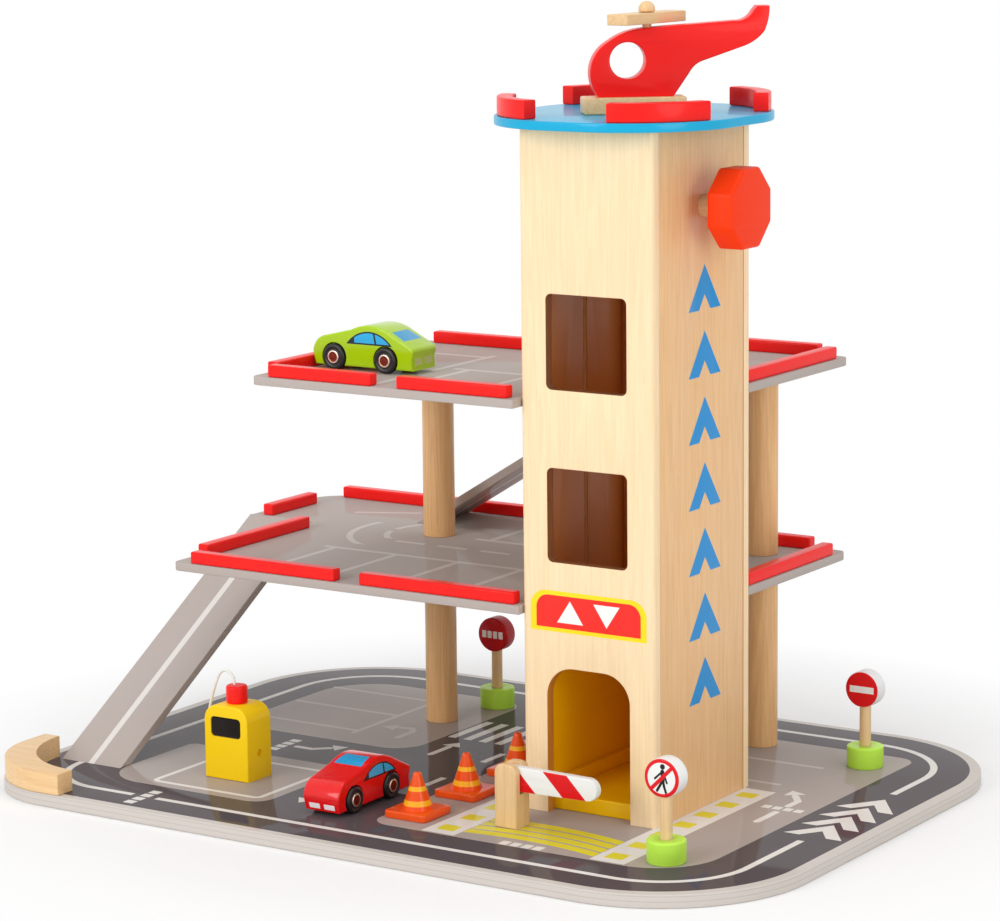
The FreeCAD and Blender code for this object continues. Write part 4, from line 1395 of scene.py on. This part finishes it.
@dataclass
class Barrier:
    """Slotted post with an arm that swings up on a pin."""

    slot: float = 3.4
    slot_low: float = 31.5
    pin: float = 2.0
    arm_half: float = 8.5
    end_half: float = 7.5
    shoulder: float = 0.78
    pin_cover: float = 1.5
    play: float = 0.06

    def build(self) -> None:
        """Make post, pin and arm."""
        box, pin = Box.of("barrier_post"), Box.of("barrier_pin")
        radius = box.size.x / 2 * self.shoulder
        outline = rounded([(box.low.x, box.low.z, 0), (box.high.x, box.low.z, 0),
                           (box.high.x, box.high.z, radius), (box.low.x, box.high.z, radius)], 20)
        post = plate("barrier_post", [outline], -box.high.y, -box.low.y, 1.0, UPRIGHT, 3)
        mid = box.middle.y
        cut = Box(Vector((box.low.x - 5, mid - self.slot, self.slot_low)),
                  Vector((box.high.x + 5, mid + self.slot, box.high.z + 5)))
        post.minus(bar("slot", cut, 0.1)).done(BEECH_UP.finish(), "garage", "beech", "barrier_post")
        # the pin ends under the wood, as none shows in the photo
        start = Vector((pin.middle.x, pin.low.y + self.pin_cover, pin.middle.z))
        way = Vector((0, pin.size.y - 2 * self.pin_cover, 0))
        rod("barrier_pin", pin.size.x / 2, start, start + way, 0.3, steps=32).done(
            STEEL.finish(), "garage", "steel_pin", "barrier_pin")
        self.arm(pin)

    def arm(self, pin: Box) -> None:
        """Tapering arm with round ends."""
        box = Box.of("barrier_arm")
        x, z = pin.middle.x, pin.middle.z
        tip = box.high.x - self.end_half
        a, b = self.arm_half, self.end_half
        outline = [*through((x, z + a), (x - a, z), (x, z - a), 16), (x, z - a),
                   *through((tip, z - b), (tip + b, z), (tip, z + b), 16), (tip, z + b)]
        hole = circle((x, z), self.pin + self.play, 32)
        paint = Paint("barrier_arm_paint", WHITE.colour, Grain.ALONG_X, 0.35, 0.2, 0.03)
        plate("barrier_arm", [outline, hole], -box.high.y, -box.low.y, 0.8, UPRIGHT, 3).done(
            paint.finish(stripe_print), "barrier", "white_red_paint", "barrier_arm")


@dataclass
class Pump:
    """Fuel pump block with a display, a red cap and a string hose."""

    shoulder: float = 11.0
    hole: float = 2.5
    hole_height: float = 27.8
    hole_depth: float = 6.0
    seen_depth: float = 4.0
    screen: tuple[float, float] = (25.4, 14.0)
    screen_depth: float = 0.8
    screen_height: float = 39.0
    hose_length: float = 84.3

    def build(self) -> None:
        """Make block, cap and hose."""
        box, cap = Box.of("pump_body"), Box.of("pump_cap")
        outline = rounded([(box.low.x, box.low.z, 0), (box.high.x, box.low.z, 0),
                           (box.high.x, box.high.z, self.shoulder),
                           (box.low.x, box.high.z, self.shoulder)])
        block = plate("pump_body", [outline], -box.high.y, -box.low.y, 1.0, UPRIGHT, 3)
        mid = box.middle
        half = self.screen[0] / 2
        pane = plate("pane", [rect((mid.x - half, self.screen_height),
                                   (mid.x + half, self.screen_height + self.screen[1]), 3)],
                     -box.low.y - self.screen_depth, -box.low.y + 2, 0.05, UPRIGHT)
        bores = [rod(name, self.hole, Vector((x0, mid.y, self.hole_height)),
                     Vector((x1, mid.y, self.hole_height)), 0.05)
                 for name, x0, x1 in (("bore", box.low.x - 1, box.low.x + self.hole_depth),
                                      ("seen_bore", box.high.x - self.seen_depth, box.high.x + 1))]
        block.minus(pane, *bores)
        block.done(PUMP_YELLOW.finish(self.display), "garage", "yellow_paint", "pump_body")
        foot = Vector((cap.middle.x, cap.middle.y, cap.low.z))
        rod("pump_cap", cap.size.x / 2, foot, foot + Vector((0, 0, cap.size.z)), 1.6).done(
            RED.finish(), "garage", "red_paint", "pump_cap")
        self.hose(box, cap)

    def display(self, shader: Shader) -> Sock:
        """Plain dark display on the front, over the yellow paint."""
        box = Box.of("pump_body")
        mid, low = box.middle.x, self.screen_height
        half = self.screen[0] / 2
        front = shader.inside(shader.y - box.low.y - 2)
        pane = shader.rect(shader.x, shader.z, (mid - half, low), (mid + half, low + self.screen[1]),
                           3)
        base = shader.plain(PUMP_YELLOW.colour)
        return shader.mix(pane & front, base, srgb(26, 20, 18))

    def hose(self, box: Box, cap: Box) -> None:
        """String from the cap's top down to the hole in the side."""
        y, z = box.middle.y, box.high.z
        x, left, top = box.middle.x - 2, box.low.x, cap.high.z
        points = [(x, y, top), (x, y, top + 7), (x - 11, y, top + 10.5), (left - 1.8, y, z + 7),
                  (left - 7, y, z - 12), (left - 6.5, y, self.hole_height),
                  (left + self.hole_depth, y, self.hole_height)]
        thick = Box.of("pump_hose").size.y * MM
        curve = bpy.data.curves.new("pump_hose", "CURVE")
        curve.dimensions = "3D"
        curve.resolution_u = 24
        curve.bevel_depth = thick / 2
        curve.bevel_resolution = 5
        curve.use_fill_caps = True
        spline = curve.splines.new("NURBS")
        spline.points.add(len(points) - 1)
        for point, here in zip(spline.points, points):
            point.co = (*(v * MM for v in here), 1)
        spline.order_u = 3
        spline.use_endpoint_u = True
        hose = bpy.data.objects.new("pump_hose", curve)
        bpy.context.scene.collection.objects.link(hose)
        curve.materials.append(cord_finish("pump_hose_string"))
        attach(hose, "garage")
        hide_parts("pump_hose")
        log.info("pump_hose on garage, %.1f mm long", self.hose_length)


def sign_print(kind: str, node: str) -> Callable[[Shader], Sock]:
    """Picture on a road sign.

    Args:
        kind: which of the three common pictures.
        node: CAD node of the disc.

    Returns:
        The function that colours the disc's material.
    """
    def picture(shader: Shader) -> Sock:
        """Colour of the disc."""
        box = Box.of(node)
        u, v = shader.x - box.middle.x, shader.z - (box.high.z - 12.75)
        front = shader.inside(shader.y - box.low.y - 0.5, 0.2)
        far = shader.far(u, v, (0, 0))
        if kind == "no_walking":
            ring = shader.inside(abs(far - 11.3) - 1.25)
            slash = shader.stroke(u, v, (-7.8, -7.8), (7.8, 7.8), 2.6)
            walker = shader.disc(u, v, (0.8, 7.6), 1.8)
            for start, end, wide in (((0.7, 4.4), (1.0, -1.6), 2.9), ((0.2, 4.0), (-4.8, -0.6), 1.4),
                                     ((1.6, 3.8), (3.9, -2.6), 1.4), ((1.2, -1.8), (2.0, -5.4), 1.9),
                                     ((2.0, -5.4), (3.3, -9.0), 1.7), ((0.4, -2.2), (-3.2, -8.2), 1.8)):
                walker = walker | shader.stroke(u, v, start, end, wide)
            base = shader.mix(walker & front, SIGN_WHITE, srgb(28, 26, 28))
            return shader.mix((ring | slash) & front, base, SIGN_RED)
        if kind == "no_entry":
            base = shader.mix(shader.inside(far - 12.3) & front, srgb(232, 230, 230), SIGN_RED)
            return shader.mix(shader.rect(u, v, (-9.2, -2.3), (9.2, 2.3)) & front, base, SIGN_WHITE)
        bars = word_bars(shader, u, v, (-9.6, -2.6), (9.6, 2.8), 4)
        return shader.mix(bars & front, srgb(196, 12, 26), SIGN_WHITE)
    return picture


@dataclass
class RoadSign:
    """Disc on a pole in a round foot."""

    name: str
    kind: str
    pole: float = 4.0
    sink: float = 12.0
    rim: float = 1.2

    def build(self) -> None:
        """Make foot, pole and disc."""
        foot, pole = Box.of(self.name + "_base"), Box.of(self.name + "_pole")
        x, y = foot.middle.x, foot.middle.y
        bore = self.pole + 0.02
        lime = Paint(self.name + "_foot_paint", LIME.colour, Grain.ALONG_Z, 0.38, 0.12)
        floor = foot.high.z - self.sink
        wall = [(foot.size.x / 2 - self.rim + self.rim * math.sin(t),
                 foot.high.z - self.rim + self.rim * math.cos(t))
                for t in (math.pi / 2 * k / 5 for k in range(6))]
        profile = [(0, floor), (bore, floor), (bore, foot.high.z - 0.4), (bore + 0.4, foot.high.z),
                   *wall, (foot.size.x / 2, foot.low.z + 0.6), (foot.size.x / 2 - 0.6, foot.low.z),
                   (0, foot.low.z)]
        lathe(self.name + "_base", profile, Vector((x, y, 0))).done(
            lime.finish(), self.name, "green_paint", self.name + "_base", smooth=50)
        rod(self.name + "_pole", self.pole, Vector((x, y, pole.low.z)), Vector((x, y, pole.high.z)),
            0.2).done(BEECH_UP.finish(), self.name, "beech", self.name + "_pole")
        self.disc(x)

    def disc(self, x: float) -> None:
        """Round sign with its flat seat on the pole."""
        node = self.name + "_disc"
        box = Box.of(node)
        radius = box.size.x / 2
        z = box.high.z - radius
        drum = rod(node, radius, Vector((x, box.low.y, z)), Vector((x, box.high.y, z)), self.rim,
                   steps=72)
        below = Box(Vector((x - radius, box.low.y - 1, z - radius - 2)),
                    Vector((x + radius, box.high.y + 1, box.low.z)))
        paint = Paint(node + "_paint", WHITE.colour, Grain.ALONG_Z, 0.35, 0.2, 0.03)
        drum.minus(bar("seat", below, 0.01)).done(
            paint.finish(sign_print(self.kind, node)), self.name, "white_red_paint", node)


def band_print(shader: Shader) -> Sock:
    """Orange cone with two yellow bands."""
    base = shader.plain(srgb(243, 84, 14))
    bands = shader.between(shader.z, 16.7, 20.2) | shader.between(shader.z, 26.4, 29.3)
    return shader.mix(bands, base, srgb(255, 186, 34))


@dataclass
class Cone:
    """Traffic cone on a square foot."""

    name: str
    foot_height: float = 5.0
    corner: float = 3.0
    radius: float = 10.5
    tip: float = 3.0

    def build(self) -> None:
        """Make the cone in one piece."""
        box = Box.of(self.name)
        low, high = box.low, box.high
        foot = plate(self.name, [rect((low.x, low.y), (high.x, high.y), self.corner)], low.z,
                     low.z + self.foot_height, 1.0, FLAT, 3)
        middle = Vector((box.middle.x, box.middle.y, 0))
        start = low.z + self.foot_height - 0.5
        cap = self.tip * 0.8
        dome = [(self.tip - cap + cap * math.sin(t), high.z - cap + cap * math.cos(t))
                for t in (math.pi / 2 * k / 8 for k in range(9))]
        profile = [(0, start), (self.radius, start), (self.radius, start + 0.6), *reversed(dome)]
        foot.joined(lathe("cone", profile, middle))
        paint = Paint(self.name + "_paint", ORANGE.colour, Grain.ALONG_Z, 0.32, 0.4, 0.04)
        foot.done(paint.finish(band_print), self.name, "cone_paint", self.name, smooth=50)


@dataclass
class Car:
    """Small wooden car with rubber wheels on axles with copper caps."""

    name: str
    colour: Colour
    turn: float
    length: float = 85.0
    width: float = 29.0
    floor: float = 3.0
    wheel: float = 9.0
    wheel_depth: float = 4.4
    arch: float = 10.2
    axles: tuple[float, float] = (19.0, 62.0)
    axle: float = 1.5
    cap: float = 4.6
    cap_proud: float = 0.4

    def build(self) -> None:
        """Make body, axles and wheels."""
        body = Box.of(self.name + "_body")
        # the outline ends a little short of the full length, so the nose gives the place
        ground = body.low.z - self.floor
        if self.turn:
            self.centre = Vector((body.middle.x, body.low.y + self.length / 2, ground))
        else:
            self.centre = Vector((body.low.x + self.length / 2, body.middle.y, ground))
        place = Matrix.Translation(self.centre) @ Matrix.Rotation(math.radians(self.turn), 4, "Z")
        self.shell(place)
        for which, at in zip(("front", "rear"), self.axles):
            self.wheels(place, which, at - self.length / 2)

    def outline(self) -> list[Point]:
        """Side view, from the nose and the ground."""
        half = self.length / 2
        points = [(84, 3), (3, 3), *through((0.5, 12), (3.4, 19.2), (12, 23.7), 12),
                  (12, 23.7), *through((33, 28.7), (50, 32.2), (66, 27.4), 20), (66, 27.4),
                  *through((83, 18.8), (84.8, 17.2), (84.8, 15), 5), (84.8, 15), (83.6, 11)]
        return [(u - half, v) for u, v in reversed(points)]

    def shell(self, place: Matrix) -> None:
        """Body with its wheel arches and axle bores."""
        half = self.width / 2
        node = self.name + "_body"
        body = plate(node, [self.outline()], -half, half, 1.3, UPRIGHT, 3)
        for at in self.axles:
            x = at - self.length / 2
            for side in (-1, 1):
                outer = Vector((x, side * (half + 1), self.wheel))
                inner = Vector((x, side * (half - self.wheel_depth), self.wheel))
                body.minus(rod("arch", self.arch, inner, outer, 0.1, steps=72))
            ends = [Vector((x, side * half, self.wheel)) for side in (-1, 1)]
            body.minus(rod("bore", self.axle + 0.06, *ends, 0.02, steps=24))
        paint = Paint(node + "_paint", self.colour, Grain.ALONG_Y if self.turn else Grain.ALONG_X,
                      0.28, 0.6, 0.04)
        slot = "red_paint" if self.name == "red_car" else "green_paint"
        body.turned(place).done(paint.finish(self.print), self.name, slot, node, smooth=40)

    def print(self, shader: Shader) -> Sock:
        """Windows and lights printed on the body."""
        if self.turn:
            u, side = shader.y - (self.centre.y - self.length / 2), shader.x - self.centre.x
        else:
            u, side = shader.x - (self.centre.x - self.length / 2), shader.y - self.centre.y
        v = shader.z - self.centre.z
        u = u - 3.5
        flank = shader.above(abs(side), 14.0, 0.3)
        dark, glass = srgb(14, 22, 40), srgb(36, 176, 232)
        base = shader.plain(self.colour)
        lens = shader.disc(u, v, (45, 4), 24.2) & shader.above(v, 18.9)
        panes = shader.disc(u, v, (45, 4), 23.1) & shader.above(v, 20.0) & shader.above(u, 32.6) \
            & ~shader.stroke(u, v, (48.6, 29), (50.6, 19), 1.5)
        base = shader.mix(lens & flank, base, dark)
        base = shader.mix(panes & flank, base, glass)
        screen = shader.convex(u, side, [(28.2, -11.2), (41, -9.4), (41, 9.4), (28.2, 11.2)]) \
            | shader.convex(u, side, [(61, -9.4), (71.6, -10.6), (71.6, 10.6), (61, 9.4)])
        base = shader.mix(screen & shader.above(v, 15), base, srgb(34, 160, 215))
        lamps = shader.rect(abs(side), v, (1.7, 4.6), (10.3, 8.3), 0.4) & shader.inside(u)
        lamps = lamps | (shader.rect(abs(side), v, (1.7, 6.6), (10.3, 11.4), 0.4)
                         & shader.above(u, 76))
        white = srgb(250, 240, 240) if self.turn else srgb(190, 205, 130)
        return shader.mix(lamps, base, white)

    def hub(self, x: float) -> Callable[[Shader], Sock]:
        """Copper cap with a painted highlight: a pale ring round its rim."""
        def picture(shader: Shader) -> Sock:
            """Colour of the cap."""
            u = shader.y - self.centre.y if self.turn else shader.x - self.centre.x
            far = shader.far(u, shader.z - self.centre.z, (x, self.wheel))
            # painted highlight: a pale ring round the cap's rim
            ring = shader.between(far, 3.5, 5.0)
            return shader.mix(ring, COPPER.colour, srgb(240, 222, 208))
        return picture

    def wheels(self, place: Matrix, which: str, x: float) -> None:
        """One axle with its two hub caps and two wheels."""
        body = f"{self.name}_{which}_axle"
        outer = self.width / 2 + 2
        face = outer - self.cap_proud
        z = self.wheel
        axle = rod(body, self.axle, Vector((x, -face, z)), Vector((x, face, z)), 0.1, steps=24)
        tyres: Piece | None = None
        for side in (-1, 1):
            rim = self.cap
            profile = [(0, -0.2), (rim - 0.02, -0.2), (rim, 0), (rim - 0.1, 0.2), (rim - 0.5, 0.39),
                       (rim - 1.1, 0.34), (rim - 1.5, 0.22), (rim - 2.6, 0.3), (0, 0.34)]
            axle.joined(lathe("cap", profile, Vector((x, side * face, z)), Vector((0, side, 0)), 40))
            r = self.wheel
            depth = outer - face
            width = 6.0 - depth
            tread = [(self.axle, -width), (r - 1.2, -width), (r - 0.4, -width + 0.35),
                     (r, -width + 1.1), (r, -1.5), (r - 0.12, -0.95), (r - 0.45, -0.45),
                     (r - 1.0, -0.12), (r - 1.6, 0), (r - 2.3, -0.05), (r - 2.8, -0.45),
                     (rim + 0.5, -0.5), (rim + 0.15, -0.3), (rim, -0.22), (self.axle, -0.22),
                     (self.axle, -width)]
            tyre = lathe(f"{self.name}_{which}_wheels", tread, Vector((x, side * face, z)),
                         Vector((0, side, 0)), 64)
            tyres = tyre if tyres is None else tyres.joined(tyre)
        axle.turned(place).done(COPPER.finish(self.hub(x)), body, "copper_cap", body, smooth=50)
        tyres.turned(place).done(TYRE.finish(), body, "tyre_black", f"{self.name}_{which}_wheels",
                                 smooth=50)


def seen_rays(shader: Shader) -> Sock:
    """One for rays that show the backdrop, nought for light on the toy."""
    path = [shader.node("ShaderNodeLightPath", kind, {})
            for kind in ("Is Camera Ray", "Is Glossy Ray", "Is Transmission Ray")]
    return shader.math("MAXIMUM", shader.math("MAXIMUM", path[0], path[1]), path[2])


@dataclass(frozen=True)
class Lamp:
    """Round soft lamp that looks at the toy, in metres and watts."""

    name: str
    place: tuple[float, float, float]
    size: float
    power: float
    aim: tuple[float, float, float] = (0.0, 0.0, 0.2)

    def build(self) -> None:
        """Set the lamp up."""
        lamp = bpy.data.lights.new(self.name, "AREA")
        lamp.shape, lamp.size, lamp.energy = "DISK", self.size, self.power
        made = bpy.data.objects.new(self.name, lamp)
        way = Vector(self.aim) - Vector(self.place)
        turn = way.to_track_quat("-Z", "Y").to_matrix().to_4x4()
        made.matrix_world = Matrix.Translation(self.place) @ turn
        bpy.context.scene.collection.objects.link(made)


@dataclass
class Studio:
    """Pale floor, soft light and the photo's camera."""

    floor_radius: float = 3.0
    fade: tuple[float, float] = (300.0, 480.0)
    soft: float = 0.62
    lamps: tuple[Lamp, ...] = (
        Lamp("key_light", (-0.7, -2.6, 1.2), 1.6, 31.0),
        Lamp("top_light", (0.3, 0.2, 2.8), 2.0, 20.0),
        Lamp("side_light", (2.4, -0.9, 0.7), 1.4, 12.0, (0.1, 0.0, 0.12)))
    place: tuple[float, float, float] = (1317.0, -2012.2, 650.1)
    yaw: float = 33.196
    pitch: float = 10.005
    roll: float = -0.643
    lens: float = 128.07
    sensor: float = 36.0

    def build(self) -> None:
        """Set the floor, lights and camera."""
        self.floor()
        self.lights()
        self.camera()

    def floor(self) -> None:
        """Round pale floor that keeps the shadow and fades into the white backdrop."""
        mesh = bmesh.new()
        bmesh.ops.create_circle(mesh, cap_ends=True, segments=96, radius=self.floor_radius)
        data = bpy.data.meshes.new("floor")
        mesh.to_mesh(data)
        mesh.free()
        floor = bpy.data.objects.new("floor", data)
        bpy.context.scene.collection.objects.link(floor)
        shader = Shader("floor_paper")
        shader.give("Base Color", (0.93, 0.93, 0.93, 1))
        shader.give("Roughness", 0.9)
        shader.give("Specular IOR Level", 0.0)
        nodes, links = shader.nodes, shader.links
        white = nodes.new("ShaderNodeEmission")
        white.inputs["Color"].default_value = (1, 1, 1, 1)
        mix = nodes.new("ShaderNodeMixShader")
        edge = shader.clamp((shader.far(shader.x, shader.y, (0, 0)) - self.fade[0])
                            / (self.fade[1] - self.fade[0]))
        shader.put(mix.inputs[0], edge * seen_rays(shader))
        links.new(shader.bsdf.outputs[0], mix.inputs[1])
        links.new(white.outputs[0], mix.inputs[2])
        links.new(mix.outputs[0], shader.out.inputs["Surface"])
        data.materials.append(shader.material)

    def lights(self) -> None:
        """Even pale surroundings with a key, a top and a side lamp."""
        world = bpy.data.worlds.new("surroundings")
        bpy.context.scene.world = world
        world.use_nodes = True
        nodes, links = world.node_tree.nodes, world.node_tree.links
        nodes.clear()
        out = nodes.new("ShaderNodeOutputWorld")
        mix = nodes.new("ShaderNodeMixShader")
        seen, soft = nodes.new("ShaderNodeBackground"), nodes.new("ShaderNodeBackground")
        seen.inputs["Color"].default_value = (1, 1, 1, 1)
        soft.inputs["Color"].default_value = (1, 1, 1, 1)
        soft.inputs["Strength"].default_value = self.soft
        path = nodes.new("ShaderNodeLightPath")
        rays = path.outputs["Is Camera Ray"]
        for kind in ("Is Glossy Ray", "Is Transmission Ray"):
            either = nodes.new("ShaderNodeMath")
            either.operation = "MAXIMUM"
            links.new(rays, either.inputs[0])
            links.new(path.outputs[kind], either.inputs[1])
            rays = either.outputs[0]
        links.new(rays, mix.inputs[0])
        links.new(soft.outputs[0], mix.inputs[1])
        links.new(seen.outputs[0], mix.inputs[2])
        links.new(mix.outputs[0], out.inputs["Surface"])
        for lamp in self.lamps:
            lamp.build()

    def camera(self) -> None:
        """Camera that stands where the photo was taken from."""
        yaw, pitch, roll = (math.radians(v) for v in (self.yaw, self.pitch, self.roll))
        ahead = Vector((-math.sin(yaw) * math.cos(pitch), math.cos(yaw) * math.cos(pitch),
                        -math.sin(pitch)))
        right = Vector((math.cos(yaw), math.sin(yaw), 0))
        up = right.cross(ahead)
        across = math.cos(roll) * right + math.sin(roll) * up
        above = math.cos(roll) * up - math.sin(roll) * right
        data = bpy.data.cameras.new("photo_camera")
        data.lens, data.sensor_width, data.sensor_fit = self.lens, self.sensor, "HORIZONTAL"
        data.clip_start, data.clip_end = 0.05, 60
        data.dof.use_dof = False
        made = bpy.data.objects.new("photo_camera", data)
        turn = Matrix((across, above, -ahead)).transposed().to_4x4()
        made.matrix_world = Matrix.Translation(Vector(self.place) * MM) @ turn
        bpy.context.scene.collection.objects.link(made)
        bpy.context.scene.camera = made


def main() -> None:
    """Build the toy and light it."""
    logging.basicConfig(level=logging.INFO, format="%(message)s")
    bpy.context.scene.view_settings.view_transform = "Standard"
    parts = [
        BaseBoard(), Decks(), Tower(), Crank(), Cabin(), Helipad(), Helicopter(), Barrier(), Pump(),
        RoadSign("sign_left", "stop"), RoadSign("sign_front", "no_walking"),
        RoadSign("sign_rear", "no_entry"), Cone("cone_front"), Cone("cone_middle"),
        Cone("cone_rear"), Car("red_car", srgb(232, 14, 18), 90),
        Car("green_car", srgb(172, 212, 4), 0), Studio()]
    for part in parts:
        part.build()
        log.info("built %s", type(part).__name__)


if __name__ == "__main__":
    main()
